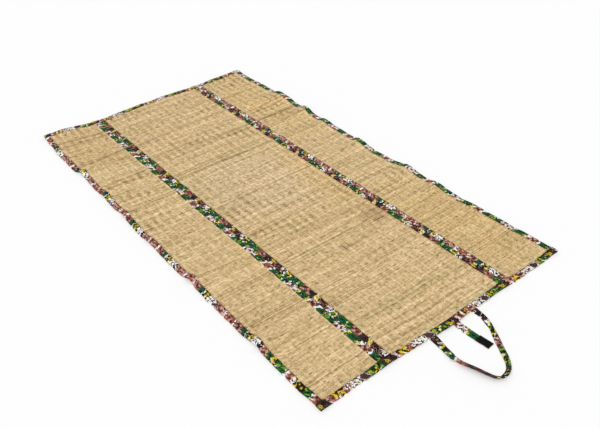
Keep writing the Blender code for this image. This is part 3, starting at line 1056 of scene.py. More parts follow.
STAIN = pigment(176, 126, 70)
SPLIT = pigment(84, 66, 36)
# Lighter and bluer, over the middle of the mat
PALER_BLUER = (1.03, 1.05, 1.17, 1.0)
GOLDEN = (0.99, 0.955, 0.86, 1.0)
TANNED = (0.94, 0.905, 0.85, 1.0)
BLEMISHES = (
    Blemish(-0.020, 0.020, 0.260, 0.270, PALER_BLUER, 1.0),
    Blemish(0.170, -0.080, 0.085, 0.300, GOLDEN, 1.0),
    Blemish(0.330, -0.560, 0.170, 0.380, GOLDEN, 1.0),
    Blemish(0.340, 0.480, 0.150, 0.400, GOLDEN, 0.8),
    Blemish(-0.350, 0.640, 0.160, 0.230, TANNED, 1.0),
    Blemish(-0.245, -0.300, 0.055, 0.180, GOLDEN, 0.8),
    Blemish(0.175, -0.365, 0.085, 0.060, STAIN, 0.34),
    Blemish(0.155, -0.393, 0.026, 0.0026, SPLIT, 0.9),
    Blemish(-0.017, -0.377, 0.012, 0.0024, SPLIT, 0.8),
    Blemish(0.110, -0.500, 0.010, 0.0024, SPLIT, 0.8),
    Blemish(-0.018, -0.434, 0.0024, 0.0210, SPLIT, 1.0),
    Blemish(-0.002, -0.427, 0.0022, 0.0180, SPLIT, 0.9),
    Blemish(-0.090, 0.774, 0.004, 0.0040, pigment(60, 45, 35), 1.0),
    Blemish(0.260, -0.080, 0.006, 0.0030, SPLIT, 1.0),
)


@dataclass(frozen=True)
class StrawFinish:
    """Dried rushes: golden, some greenish or reddish, with string flecks, dark gaps and painted
    shade.
    """

    name: str
    effects: Effects
    seed: float
    light: Colour = pigment(231, 202, 153)
    middle: Colour = pigment(212, 182, 131)
    deep: Colour = pigment(184, 151, 99)
    string: Colour = pigment(246, 228, 186)
    hollow: Colour = pigment(104, 82, 44)

    def material(self) -> bpy.types.Material:
        """The straw's material, with its weave read from the panel's own UV map."""
        material, w, shader = new_material(self.name)
        across, along = w.surface()
        weave = self.effects.rushes.place(
            w, Across=w.math("ADD", across, self.seed * STRING_PITCH * 2.0), Along=along
        )
        kinds = (
            (0.00, self.deep),
            (0.14, self.middle),
            (0.62, self.middle),
            (1.00, self.light),
        )
        colour, _ = w.ramp(weave["Shade"], kinds)
        red, green, _ = w.split(weave["Hue"])
        colour = w.blend(w.times(w.rise(red, 0.95, 0.98), 0.35), colour, pigment(220, 170, 125))
        colour = w.blend(w.times(w.rise(green, 0.92, 0.96), 0.45), colour, pigment(180, 172, 110))
        # The tone holds painted highlight and shade as well as the straw's own tone
        gain = w.math("ADD", weave["Tone"], 1.0)
        # Painted shade: the straw darkens along the creases and in the grooves between rushes
        crease = w.mark()
        gain = w.times(
            gain,
            w.minus(1.0, w.times(crease, 0.54)),
            w.minus(1.0, w.times(weave["Trough"], 0.10)),
        )
        tint = w.add("ShaderNodeCombineColor")
        for socket, power in zip(tint.inputs, (0.92, 1.0, 1.38)):
            w.feed(socket, w.math("POWER", gain, power))
        colour = w.blend(1.0, colour, tint.outputs[0], "MULTIPLY")
        colour = w.blend(w.times(weave["Fleck"], 0.75), colour, self.string)
        colour = w.blend(w.times(weave["Gap"], 0.72), colour, self.hollow)
        where = w.add("ShaderNodeTexCoord").outputs["Object"]
        x, y, _ = w.split(where)
        for blemish in BLEMISHES:
            dx = w.math("DIVIDE", w.minus(x, blemish.x), blemish.reach_x)
            dy = w.math("DIVIDE", w.minus(y, blemish.y), blemish.reach_y)
            far = w.math("SQRT", w.add_up(w.times(dx, dx), w.times(dy, dy)))
            share = w.minus(1.0, w.rise(far, 0.35, 1.0))
            share = w.times(share, blemish.strength)
            colour = w.blend(share, colour, blemish.colour, blemish.how())
        w.feed(shader.inputs["Base Color"], colour)
        w.feed(shader.inputs["Roughness"], w.spread(weave["Fibre"], 0.50, 0.74))
        shader.inputs["Specular IOR Level"].default_value = 0.35
        shader.inputs["Sheen Weight"].default_value = 0.08
        height = w.add_up(
            w.times(weave["Fibre"], 0.25), w.times(weave["Fleck"], 0.8), w.times(weave["Gap"], -1.2)
        )
        w.feed(shader.inputs["Normal"], w.bump(height, 0.0005))
        return material


class Dye(Enum):
    """The print's colours."""

    GREEN = pigment(6, 92, 40)
    TEAL = pigment(14, 84, 62)
    LEAF = pigment(138, 168, 36)
    DARK = pigment(26, 14, 13)
    PLUM = pigment(78, 44, 46)
    RUST = pigment(158, 86, 68)
    BROWN = pigment(126, 82, 68)
    PINK = pigment(214, 166, 148)
    YELLOW = pigment(230, 202, 34)
    WHITE = pigment(255, 251, 246)


GREEN, TEAL, LEAF, DARK, PLUM, RUST, BROWN, PINK, YELLOW, WHITE = Dye


@dataclass(frozen=True)
class Block:
    """One block of the print along the tape: its ground, with leaves of one dye over a share of
    it and strokes of another."""

    length: float
    ground: Dye
    leaf: Dye = DARK
    leaf_share: float = 0.0
    stroke: Dye = DARK
    stroke_share: float = 0.0
    fleck: Dye = WHITE


CHART_RUST = (
    Block(19, TEAL, DARK, 0.34, fleck=GREEN),
    Block(3, WHITE),
    Block(9, DARK, fleck=LEAF),
    Block(5, YELLOW, DARK, 0.2),
    Block(6, DARK, fleck=YELLOW),
    Block(4, YELLOW, DARK, 0.4),
    Block(32, WHITE, PLUM, 0.12, DARK, 0.42),
    Block(4, DARK),
    Block(40, RUST, BROWN, 0.36, WHITE, 0.13, PINK),
    Block(10, WHITE, PINK, 0.40, fleck=RUST),
    Block(36, RUST, BROWN, 0.24, DARK, 0.10, PINK),
    Block(7, WHITE, PINK, 0.35),
    Block(29, RUST, DARK, 0.36, PINK, 0.12, PINK),
)
CHART_CORNER = (
    Block(22, GREEN, DARK, 0.30, fleck=LEAF),
    Block(8, YELLOW, GREEN, 0.30),
    Block(12, DARK, GREEN, 0.34, fleck=YELLOW),
    Block(34, GREEN, LEAF, 0.25, fleck=LEAF),
    Block(8, WHITE, PINK, 0.30),
    Block(17, RUST, BROWN, 0.24, fleck=PINK),
    Block(12, WHITE, PINK, 0.36, DARK, 0.30),
    Block(9, YELLOW, DARK, 0.36),
    Block(26, DARK, PLUM, 0.24, fleck=YELLOW),
    Block(20, GREEN, DARK, 0.34, fleck=LEAF),
    Block(10, WHITE, RUST, 0.36),
    Block(26, RUST, DARK, 0.24, fleck=PINK),
)
CHART_GREEN = (
    Block(18, GREEN, DARK, 0.24, fleck=TEAL),
    Block(9, DARK, GREEN, 0.25, fleck=LEAF),
    Block(6, GREEN, LEAF, 0.50),
    Block(8, GREEN, DARK, 0.2),
    Block(5, LEAF, GREEN, 0.44),
    Block(20, GREEN, DARK, 0.36, fleck=TEAL),
    Block(12, WHITE, PINK, 0.30, DARK, 0.42, RUST),
    Block(11, RUST, PLUM, 0.30, WHITE, 0.30),
    Block(12, WHITE, RUST, 0.34, DARK, 0.42, PINK),
    Block(10, PLUM, WHITE, 0.25, PINK, 0.30),
    Block(6, LEAF, YELLOW, 0.50),
    Block(34, GREEN, DARK, 0.30, fleck=TEAL),
    Block(6, DARK, fleck=YELLOW),
    Block(11, WHITE, YELLOW, 0.30, DARK, 0.36),
    Block(24, RUST, BROWN, 0.24, DARK, 0.14, PINK),
    Block(12, WHITE, TEAL, 0.20, DARK, 0.12),
)
CHART_DARK = (
    Block(25, DARK, PLUM, 0.30, fleck=PLUM),
    Block(4, WHITE, YELLOW, 0.40),
    Block(10, YELLOW, DARK, 0.22),
    Block(34, DARK, PLUM, 0.34, PINK, 0.10, RUST),
    Block(6, RUST, DARK, 0.30),
    Block(6, WHITE, PINK, 0.30, DARK, 0.20),
    Block(5, DARK),
    Block(6, WHITE, RUST, 0.30),
    Block(14, GREEN, DARK, 0.45, fleck=YELLOW),
    Block(6, YELLOW, DARK, 0.40),
    Block(34, GREEN, DARK, 0.28, fleck=TEAL),
    Block(5, LEAF, DARK, 0.25),
    Block(14, GREEN, DARK, 0.30, fleck=LEAF),
    Block(35, RUST, BROWN, 0.36, DARK, 0.16, PINK),
)
CHART_END = (
    Block(40, DARK, PLUM, 0.30, fleck=PLUM),
    Block(7, PINK, WHITE, 0.35),
    Block(13, RUST, PLUM, 0.30, fleck=PINK),
    Block(9, YELLOW, DARK, 0.22),
    Block(8, DARK, RUST, 0.40, fleck=YELLOW),
    Block(7, YELLOW, DARK, 0.30),
    Block(14, RUST, DARK, 0.24, fleck=PINK),
    Block(30, WHITE, PINK, 0.16, PLUM, 0.36, RUST),
    Block(5, LEAF, WHITE, 0.40),
    Block(12, WHITE, PLUM, 0.30, DARK, 0.36),
    Block(21, DARK, GREEN, 0.24, fleck=GREEN),
    Block(5, GREEN, DARK, 0.35),
    Block(12, GREEN, LEAF, 0.30, fleck=LEAF),
    Block(8, DARK, GREEN, 0.30, fleck=YELLOW),
    Block(5, YELLOW, GREEN, 0.40),
    Block(18, GREEN, DARK, 0.34, fleck=LEAF),
)
CHART_LOOP = (
    Block(22, DARK),
    Block(26, DARK, PLUM, 0.34, fleck=RUST),
    Block(10, GREEN, DARK, 0.30),
    Block(5, YELLOW, DARK, 0.30),
    Block(20, DARK, GREEN, 0.34, fleck=LEAF),
    Block(6, LEAF, GREEN, 0.45),
    Block(18, GREEN, DARK, 0.24),
    Block(5, WHITE),
    Block(26, RUST, PINK, 0.30, fleck=PINK),
    Block(78, DARK, PLUM, 0.42, fleck=RUST),
    Block(6, YELLOW, DARK, 0.40),
    Block(18, DARK, PLUM, 0.34),
    Block(30, PLUM, DARK, 0.40, fleck=LEAF),
    Block(16, GREEN, DARK, 0.36, fleck=LEAF),
    Block(6, YELLOW, DARK, 0.24),
    Block(14, DARK, GREEN, 0.34, fleck=LEAF),
    Block(6, YELLOW, GREEN, 0.24),
    Block(18, GREEN, DARK, 0.34, fleck=LEAF),
    Block(42, PLUM, RUST, 0.42, PINK, 0.22, PINK),
    Block(4, WHITE),
    Block(18, GREEN, DARK, 0.42, fleck=YELLOW),
    Block(16, DARK, GREEN, 0.30, fleck=LEAF),
    Block(6, YELLOW, DARK, 0.24),
    Block(10, WHITE, DARK, 0.36),
    Block(14, DARK, PLUM, 0.34, fleck=RUST),
    Block(44, DARK),
)


@dataclass(frozen=True)
class Flower:
    """A flower of the print: its place in the repeat and across the tape's face, in mm, its
    radius, its petals and its dyes."""

    place: float
    middle: float = 34.5
    radius: float = 9.0
    petals: float = 8.0
    dye: Dye = YELLOW
    heart: Dye = DARK
    ring: Dye = DARK


FLOWERS_RUST = (Flower(34, 36.0, 6.0, 7.0),)
FLOWERS_GREEN = (
    Flower(31, 35.0, 7.0, 8.0, LEAF, DARK, GREEN),
    Flower(155, 40.0, 5.5, 6.0),
    Flower(96, 33.0, 5.5, 5.0, WHITE, RUST),
)
FLOWERS_DARK = (
    Flower(33, 34.0, 7.0, 7.0),
    Flower(100, 31.0, 5.0, 6.0, LEAF),
    Flower(80, 38.0, 5.5, 5.0, WHITE, RUST),
)
FLOWERS_END = (
    Flower(14, 33.5, 8.0, 9.0),
    Flower(155, 35.0, 10.5, 0.0, PLUM, PLUM, WHITE),
    Flower(177, 35.0, 7.5, 8.0, YELLOW, DARK, GREEN),
)


@dataclass(frozen=True)
class PrintedCottonFinish:
    """Cotton tape with a hand-block print of a repeat's blocks, faded in patches."""

    name: str
    effects: Effects
    chart: tuple[Block, ...]
    start: float
    turned: bool = False
    repeat: float = 204.0 * MM
    flowers: tuple[Flower, ...] = ()

    def stops(self, dye: Callable[[Block], Dye], share: Callable[[Block], float]) -> list:
        """The stepped ramp of one part of the blocks: its colour, and in alpha its share."""
        total = sum(block.length for block in self.chart)
        place, stops = 0.0, []
        for block in self.chart:
            stops.append((place / total, (*dye(block).value[:3], share(block))))
            place += block.length
        return stops

    def material(self) -> bpy.types.Material:
        """The tape's material. The distance along is turned about where the tape is turned."""
        material, w, shader = new_material(self.name)
        across, along = w.surface()
        way = 1.0 if self.turned else -1.0
        along = w.math("MULTIPLY_ADD", along, way, 4.0 - way * self.start)
        along = w.minus(along, 4.0 % self.repeat)
        blocks = self.effects.print.place(w, Across=across, Along=along, Repeat=self.repeat)
        cloth = self.effects.cloth.place(w, Across=across, Along=along, Threads=1600.0)

        colour, _ = w.ramp(blocks["Phase"], self.stops(lambda b: b.ground, lambda b: 1.0), True)
        leaf, leaf_share = w.ramp(
            blocks["Phase"], self.stops(lambda b: b.leaf, lambda b: b.leaf_share), True
        )
        over = w.math("ADD", blocks["Leaf"], w.spread(leaf_share, -0.72, -0.28))
        covered = w.times(w.rise(over, -0.012, 0.012), w.math("GREATER_THAN", leaf_share, 0.02))
        colour = w.blend(covered, colour, leaf)
        stroke, stroke_share = w.ramp(
            blocks["Phase"], self.stops(lambda b: b.stroke, lambda b: b.stroke_share), True
        )
        under = w.minus(stroke_share, blocks["Stroke"])
        broken = w.rise(blocks["Spot"], 0.38, 0.42)
        covered = w.times(w.rise(under, -0.03, 0.03), broken)
        covered = w.times(covered, w.math("GREATER_THAN", stroke_share, 0.02))
        colour = w.blend(covered, colour, stroke)
        rim = w.minus(1.0, w.rise(w.math("ABSOLUTE", over), 0.010, 0.028))
        rim = w.times(rim, w.math("GREATER_THAN", leaf_share, 0.02))
        rim = w.times(rim, w.rise(blocks["Spot"], 0.50, 0.54), 0.9)
        colour = w.blend(rim, colour, DARK.value)
        fleck, _ = w.ramp(blocks["Phase"], self.stops(lambda b: b.fleck, lambda b: 1.0), True)
        pale = w.minus(1.0, w.rise(blocks["Fleck"], 0.315, 0.335))
        colour = w.blend(w.times(pale, 0.92), colour, fleck)
        dark = w.rise(blocks["Fleck"], 0.66, 0.68)
        colour = w.blend(w.times(dark, 0.90), colour, DARK.value)
        vein = w.minus(1.0, w.rise(blocks["Vein"], 0.008, 0.018))
        light_vein = w.rise(blocks["Spot"], 0.62, 0.65)
        colour = w.blend(w.times(vein, light_vein, 0.85), colour, WHITE.value)
        dark_vein = w.minus(1.0, w.rise(blocks["Spot"], 0.42, 0.45))
        colour = w.blend(w.times(vein, dark_vein, 0.9), colour, DARK.value)
        total = sum(block.length for block in self.chart)
        for flower in self.flowers:
            drawn = self.effects.flower.place(
                w,
                Phase=blocks["Phase"],
                Repeat=self.repeat,
                Across=across,
                Place=flower.place / total,
                Middle=flower.middle * MM,
                Radius=flower.radius * MM,
                Petals=flower.petals,
            )
            colour = w.blend(w.times(drawn["Ring"], 0.95), colour, flower.ring.value)
            colour = w.blend(drawn["Petal"], colour, flower.dye.value)
            colour = w.blend(drawn["Heart"], colour, flower.heart.value)
        fade = w.rise(cloth["Fade"], 0.45, 0.75)
        colour = w.blend(w.times(fade, 0.04), colour, pigment(205, 196, 180))
        slub = w.spread(cloth["Slub"], 0.90, 1.10)
        tint = w.add("ShaderNodeCombineColor")
        for socket in tint.inputs:
            w.feed(socket, slub)
        colour = w.blend(1.0, colour, tint.outputs[0], "MULTIPLY")
        w.feed(shader.inputs["Base Color"], colour)
        w.feed(shader.inputs["Roughness"], w.spread(cloth["Slub"], 0.78, 0.95))
        shader.inputs["Specular IOR Level"].default_value = 0.12
        shader.inputs["Sheen Weight"].default_value = 0.03
        shader.inputs["Sheen Roughness"].default_value = 0.5
        height = w.add_up(w.times(cloth["Height"], 0.6), w.times(cloth["Slub"], 0.6))
        w.feed(shader.inputs["Normal"], w.bump(height, 0.00018))
        return material


@dataclass(frozen=True)
class ThreadFinish:
    """Sewing thread with its twist."""

    name: str
    effects: Effects
    colour: Colour

    def material(self) -> bpy.types.Material:
        """The thread's material: slanting plies, each with a painted highlight on its top."""
        material, w, shader = new_material(self.name)
        across, along = w.surface()
        ply = w.math("FRACT", w.add_up(w.times(across, 1300.0), w.times(along, 2200.0)))
        cloth = self.effects.cloth.place(w, Across=across, Along=along, Threads=2400.0)
        pale = tuple(min(1.0, channel * 1.35) for channel in self.colour[:3]) + (1.0,)
        # Painted highlight: each ply turns paler towards its top
        colour = w.blend(w.times(w.rise(ply, 0.2, 0.8), cloth["Slub"]), self.colour, pale)
        w.feed(shader.inputs["Base Color"], colour)
        w.feed(shader.inputs["Roughness"], w.spread(cloth["Slub"], 0.55, 0.85))
        shader.inputs["Sheen Weight"].default_value = 0.1
        w.feed(shader.inputs["Normal"], w.bump(w.rise(ply, 0.0, 0.5), 0.0001))
        return material


@dataclass(frozen=True)
class HookTapeFinish:
    """Black nylon hook tape, dusty between its hooks."""

    name: str
    effects: Effects

    def material(self) -> bpy.types.Material:
        """The hook tape's material."""
        material, w, shader = new_material(self.name)
        across, along = w.surface()
        cloth = self.effects.cloth.place(w, Across=across, Along=along, Threads=900.0)
        colour = w.blend(
            w.rise(cloth["Fade"], 0.35, 0.8), pigment(9, 9, 9), pigment(24, 24, 22)
        )
        w.feed(shader.inputs["Base Color"], colour)
        w.feed(shader.inputs["Roughness"], w.spread(cloth["Slub"], 0.45, 0.75))
        shader.inputs["Specular IOR Level"].default_value = 0.12
        w.feed(shader.inputs["Normal"], w.bump(cloth["Height"], 0.0002))
        return material


class Slot(Enum):
    """The record's material slots."""

    STRAW = "straw"
    PRINTED_TAPE = "printed_tape"
    HOOK_TAPE = "hook_tape"


def settle(piece: Piece, slot: Slot, *nodes: str) -> Piece:
    """Rides a piece on the mat, hides the CAD nodes that it stands for, and reports it.

    Args:
        piece: the finished object.
        slot: not used.
        nodes: the CAD nodes that it replaces.

    Returns:
        The piece.
    """
    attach(piece, "root")
    if nodes:
        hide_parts(*nodes)
    log.info("%s: %d faces", piece.name, len(piece.data.polygons))
    return piece


@dataclass
class StrawPanel:
    """One woven panel between two bound edges of the mat."""

    name: str
    node: str
    left: float
    right: float
    tapes: tuple[str, str]
    mat: LyingMat
    finish: StrawFinish
    seed: int
    intervals: int
    under_columns: int = 4
    over_under: float = 0.42 * MM
    puff: float = 0.30 * MM
    groove: float = 0.75 * MM
    inside_fold: float = TAPE_LAYER

    def rows(self) -> tuple[Array, Array]:
        """Which rush each row belongs to, and whether it lies in the groove before it."""
        number = np.arange(3 * RUSHES + 1)
        return number // 3, number % 3 == 0

    def relief(self, x: Array, y: Array, columns: Array) -> Array:
        """The weave's height over the plain face of the cloth.

        Over and under is the cosine of half a turn for each string, turned about from rush to
        rush. Where the strings pull unevenly the even ones stay low, and the cloth puffs between.
        """
        rush, groove = self.rows()
        side = np.where(rush % 2 == 0, 1.0, -1.0)[:, None]
        wave = np.cos(np.pi * columns / 2.0)[None]
        plump = 0.75 + 0.35 * mottle(self.seed + 1, x, rush[:, None] * 0.01, 0.09, 0.01)
        crest = self.over_under * side * wave * plump
        lean = eased(0.75 + 0.9 * mottle(self.seed + 2, x, y, 0.28, 0.055))
        crest += self.puff * wave * lean - 0.35 * MM
        crest += 0.11 * MM * mottle(self.seed + 3, x, rush[:, None] * 0.01, 0.14, 0.01)
        low = -self.groove - 0.2 * MM * (1.0 - wave * lean)
        return np.where(groove[:, None], low, crest)

    def build(self) -> Piece:
        """The panel: a fine woven top and a plain underside in one closed skin.

        Returns:
            The panel's object.
        """
        first, last = self.left + self.inside_fold, self.right - self.inside_fold
        columns = np.arange(self.intervals + 1)
        flat = first + (last - first) * columns / self.intervals
        share = np.arange(3 * RUSHES + 1)[:, None] / (3.0 * RUSHES)

        def laid_y(x: Array) -> Array:
            """Where each row lies along the mat at x."""
            near = self.mat.end_line(NEAR_END, x) + self.inside_fold
            far = self.mat.end_line(FAR_END, x) - self.inside_fold
            return near + (far - near) * share

        x = np.broadcast_to(flat[None], (len(share), len(flat)))
        y = laid_y(flat[None])
        inner = eased((x - self.left - 0.004) / 0.02) * eased((self.right - 0.004 - x) / 0.02)
        ends = eased((share * PANEL_LENGTH - 0.004) / 0.02) * eased(
            ((1.0 - share) * PANEL_LENGTH - 0.004) / 0.02
        )
        y = y + ends * 0.9 * MM * mottle(self.seed + 4, x, y, 0.13, 0.03)
        x = x + inner * 1.3 * MM * mottle(self.seed + 5, x, y, 0.02, 0.22)
        layers = self.mat.tapes_under(x) + self.mat.ends_under(x, y)
        side = np.minimum(x - self.left, self.right - x)
        end = np.minimum(*self.mat.from_both(x, y))
        open_cloth = eased((np.minimum(side, end) - 0.019) / 0.006)
        relief = self.relief(x, y, columns)
        relief = np.where(relief > 0.0, relief * open_cloth, relief * (0.35 + 0.65 * open_cloth))
        top = self.mat.place(x, y, layers * TAPE_LAYER + STRAW_THICKNESS + relief)

        low_flat = np.linspace(first, last, self.under_columns)
        rim = np.array((first, first + 0.019, first + 0.036))
        low_flat = np.concatenate((rim, low_flat[1:-1], (first + last - rim)[::-1]))
        low_x = np.broadcast_to(low_flat[None], (len(share), len(low_flat)))
        low_y = laid_y(low_flat[None])
        low_layers = self.mat.tapes_under(low_x) + self.mat.ends_under(low_x, low_y)
        under = self.mat.place(low_x, low_y, low_layers * TAPE_LAYER)

        rings = np.concatenate((under, top[:, ::-1]), axis=1)
        u_top = columns / 2.0 * STRING_PITCH
        u_low = (low_flat - first) / (last - first) * u_top[-1]
        across = np.concatenate((u_low, u_top[::-1], u_low[:1]))
        along = share[:, 0] * PANEL_LENGTH
        # The painted crease shade, on the top face only
        crease_shades = np.concatenate(
            (np.zeros(low_x.shape), self.mat.painted_crease_shade(x, y)[:, ::-1]), axis=1
        )
        panel = skinned(self.name, rings, across, along, self.finish.material(), crease_shades)
        settle(panel, Slot.STRAW, self.node)
        return panel


def folded_profile(upper: Array, width: Array, corner: float = 0.9 * MM) -> tuple[Array, Array]:
    """A tape folded over an edge: how far in from the fold, and how high, for each point.

    The outer face runs in along the floor from the lower inner side, round a quarter of an
    ellipse at each corner of the fold, and back over the top, and the inner face returns.

    Args:
        upper: the height of the upper layer's underside, for each station.
        width: the upper layer's width, for each station.
        corner: the radius of the fold's corners.

    Returns:
        Two arrays of stations and points.
    """
    turn = np.radians((270.0, 240.0, 210.0, 180.0))
    count = len(upper)
    one = np.ones((count, 1))
    top = upper[:, None] + TAPE_THICKNESS
    low_in = corner + corner * np.cos(turn)[None] * one
    low_up = corner + corner * np.sin(turn)[None] * one
    high_in = low_in[:, ::-1]
    high_up = top - (corner + corner * np.sin(turn)[None, ::-1])
    wide = width[:, None]
    distance = np.concatenate(
        (
            TAPE_WIDTH * one,
            low_in,
            high_in,
            0.4 * TAPE_WIDTH * one,
            0.75 * TAPE_WIDTH * one,
            wide - 0.2 * MM,
            wide,
            0.4 * TAPE_WIDTH * one,
            TAPE_THICKNESS * one,
            TAPE_THICKNESS * one,
            TAPE_WIDTH * one,
        ),
        axis=1,
    )
    height = np.concatenate(
        (
            0.0 * one,
            low_up,
            high_up,
            top,
            top,
            top - 0.05 * MM,
            upper[:, None] + 0.15 * MM,
            upper[:, None],
            upper[:, None],
            TAPE_THICKNESS * one,
            TAPE_THICKNESS * one,
        ),
        axis=1,
    )
    return distance, height


# The point of the folded profile at the upper layer's inner edge
FOLD_TIP = 12


def unfolded(distance: Array, height: Array, tip: int | None = None) -> Array:
    """How far each point of a ring, and its first once more, is along the ring.

    Args:
        distance, height: the ring's points.
        tip: the point from which the count runs back, where the inner face follows the outer.

    Returns:
        One more value than there are points.
    """
    x, z = np.append(distance, distance[0]), np.append(height, height[0])
    outer = np.concatenate(((0.0,), np.cumsum(np.hypot(np.diff(x), np.diff(z)))))
    if tip is None:
        return outer
    return np.where(np.arange(len(outer)) <= tip, outer, 2.0 * outer[tip] - outer)


class SewnTape:
    """What each tape folded over an edge has: its wavering width, its puckers and its stitches."""

    name: str
    seed: int
    pucker: float
    stitch_margin: float

    def width(self, along: Array) -> Array:
        """The upper layer's width, which wavers where it was sewn."""
        return TAPE_WIDTH + 0.55 * MM * drift(self.seed, along, 0.018)

    def puckers(self, distance: Array, along: Array) -> Array:
        """How far the upper layer puckers up between its fold and its stitches."""
        hump = np.clip(np.sin(np.pi * np.clip(distance / TAPE_WIDTH, 0.0, 1.0)), 0.0, 1.0)
        return self.pucker * (0.5 + 0.5 * drift(self.seed + 1, along, 0.009)) * hump

    def stitches(self, thread: bpy.types.Material, pitch: float = 4.6 * MM) -> Piece:
        """The row of stitches that holds the tape, just inside the upper layer's edge.

        Args:
            thread: the thread's material.
            pitch: from stitch to stitch.

        Returns:
            All the stitches as one object.
        """
        span = self.span()
        at = np.arange(span[0] + self.stitch_margin, span[-1] - self.stitch_margin, pitch)
        distance = self.width(at) - STITCH_INSET + 0.25 * MM * drift(self.seed + 2, at, 0.03)
        middle = self.on_top(distance, at, THREAD_LIFT)
        ahead = self.on_top(distance, at + 1.2 * MM, THREAD_LIFT)
        beside = self.on_top(distance + 1.0 * MM, at, THREAD_LIFT)
        along = unit(ahead - middle)
        up = unit(np.cross(beside - middle, along))
        up *= np.sign(up[:, 2:3])
        shape = thread_arc(0.78 * pitch, THREAD_RADIUS, THREAD_RISE)
        side = np.cross(up, along)
        row = copies(self.name + "_stitches", shape, middle, along, side, up, thread)
        return settle(row, Slot.PRINTED_TAPE)


@dataclass
class LongTape(SewnTape):
    """The tape folded over one long side of a panel."""

    name: str
    node: str
    edge: float
    inward: int
    mat: LyingMat
    finish: PrintedCottonFinish
    seed: int
    pieced: PrintedCottonFinish | None = None
    joint: float = -0.622
    stations: int = 660
    pucker: float = 0.45 * MM
    stitch_margin: float = 0.026

    def span(self) -> Array:
        """Where the tape's stations lie along Y: it runs inside the end tapes."""
        edge = np.array(self.edge)
        near = float(self.mat.end_line(NEAR_END, edge)) + TAPE_LAYER
        far = float(self.mat.end_line(FAR_END, edge)) - TAPE_LAYER
        return np.linspace(near, far, self.stations)

    def upper(self, y: Array) -> Array:
        """The height of the upper layer's underside over that of the lower one."""
        return np.full(y.shape, TAPE_LAYER + STRAW_THICKNESS + GAP)

    def raised(self, distance: Array, y: Array) -> Array:
        """How far the upper layer puckers up, less and less towards the end tapes."""
        x = self.edge + self.inward * distance
        return self.puckers(distance, y) * self.mat.inside(x, y, 0.022, 0.02)

    def on_top(self, distance: Array, y: Array, over: float = 0.0) -> Array:
        """Points on the upper layer's face, or a little over it."""
        x = self.edge + self.inward * distance
        height = self.mat.ends_under(x, y) * TAPE_LAYER + self.upper(y) + TAPE_THICKNESS
        return self.mat.place(x, y, height + self.raised(distance, y) + over)

    def build(self) -> Piece:
        """The tape as one closed skin.

        Returns:
            The tape's object.
        """
        y = self.span()
        distance, height = folded_profile(self.upper(y), self.width(y))
        rows = np.broadcast_to(y[:, None], distance.shape)
        x = self.edge + self.inward * distance
        base = self.mat.ends_under(x, rows) * TAPE_LAYER
        upper = height > TAPE_LAYER + STRAW_THICKNESS
        raised = np.where(upper, self.raised(distance, rows), 0.0)
        rings = self.mat.place(x, rows, base + height + raised)
        across = unfolded(distance[0], height[0], FOLD_TIP)
        tape = skinned(self.name, rings, across, y, self.finish.material())
        if self.pieced:
            tape.data.materials.append(self.pieced.material())
            middle = np.empty(3 * len(tape.data.polygons))
            tape.data.polygons.foreach_get("center", middle)
            second = (middle[1::3] < self.joint).astype(np.int32)
            tape.data.polygons.foreach_set("material_index", second)
        settle(tape, Slot.PRINTED_TAPE, self.node)
        return tape


@dataclass
class EndTape(SewnTape):
    """The tape folded over one end of the mat, over the panels and their long tapes."""

    name: str
    node: str
    end: MatEnd
    mat: LyingMat
    finish: PrintedCottonFinish
    seed: int
    stations: int = 380
    pucker: float = 0.35 * MM
    stitch_margin: float = 0.003

    def span(self) -> Array:
        """Where the tape's stations lie along X."""
        return np.linspace(self.mat.flat_x[0], self.mat.flat_x[-1], self.stations)

    def upper(self, x: Array) -> Array:
        """The height of the upper layer's underside: higher over the long tapes."""
        return (2.0 * self.mat.tapes_under(x) + 1.0) * TAPE_LAYER + STRAW_THICKNESS + GAP

    def placed(self, distance: Array, x: Array, height: Array) -> Array:
        """Points so far in from the end, at x, and so high."""
        y = self.mat.end_line(self.end, x) + self.end.inward * distance
        return self.mat.place(x, y, height)

    def on_top(self, distance: Array, x: Array, over: float = 0.0) -> Array:
        """Points on the upper layer's face, or a little over it."""
        height = self.upper(x) + TAPE_THICKNESS + self.puckers(distance, x) + over
        return self.placed(distance, x, height)

    def build(self) -> Piece:
        """The tape as one closed skin.

        Returns:
            The tape's object.
        """
        x = self.span()
        distance, height = folded_profile(self.upper(x), self.width(x))
        columns = np.broadcast_to(x[:, None], distance.shape)
        upper = height > self.upper(x)[:, None] - 0.1 * MM
        raised = np.where(upper, self.puckers(distance, columns), 0.0)
        rings = self.placed(distance, columns, height + raised)
        across = unfolded(distance[0], height[0], FOLD_TIP)
        tape = skinned(self.name, rings, across, x, self.finish.material())
        settle(tape, Slot.PRINTED_TAPE, self.node)
        return tape


@dataclass
class SeamJoin:
    """The slanting stitches that join two panels' tapes edge to edge."""

    name: str
    left: LongTape
    right: LongTape
    pitch: float = 11.0 * MM
    reach: float = 2.6 * MM

    def build(self, thread: bpy.types.Material) -> Piece:
        """The stitches across one seam.

        Args:
            thread: the thread's material.

        Returns:
            All the stitches as one object.
        """
        y = np.arange(self.left.span()[0] + 0.030, self.left.span()[-1] - 0.030, self.pitch)
        slant = 1.6 * MM
        inside = np.full(y.shape, self.reach)
        start = self.left.on_top(inside, y - slant, 0.1 * MM)
        stop = self.right.on_top(inside, y + slant, 0.1 * MM)
        length = float(np.linalg.norm(stop - start, axis=1).mean())
        along = unit(stop - start)
        up = np.tile(UP, (len(y), 1))
        side = unit(np.cross(up, along))
        shape = thread_arc(length, 0.3 * MM, 0.5 * MM)
        middle, top = (start + stop) / 2.0, np.cross(along, side)
        row = copies(self.name, shape, middle, along, side, top, thread)
        return settle(row, Slot.PRINTED_TAPE)


# A strap's outline from its lower side round: the share of its half width, and of its thickness
STRAP_SPREAD = np.array((-0.96, -0.5, 0.0, 0.5, 0.96, 1.0, 0.96, 0.5, 0.0, -0.5, -0.96, -1.0))
STRAP_LEVEL = np.array((0.0, 0.0, 0.0, 0.0, 0.0, 0.5, 1.0, 1.0, 1.0, 1.0, 1.0, 0.5))


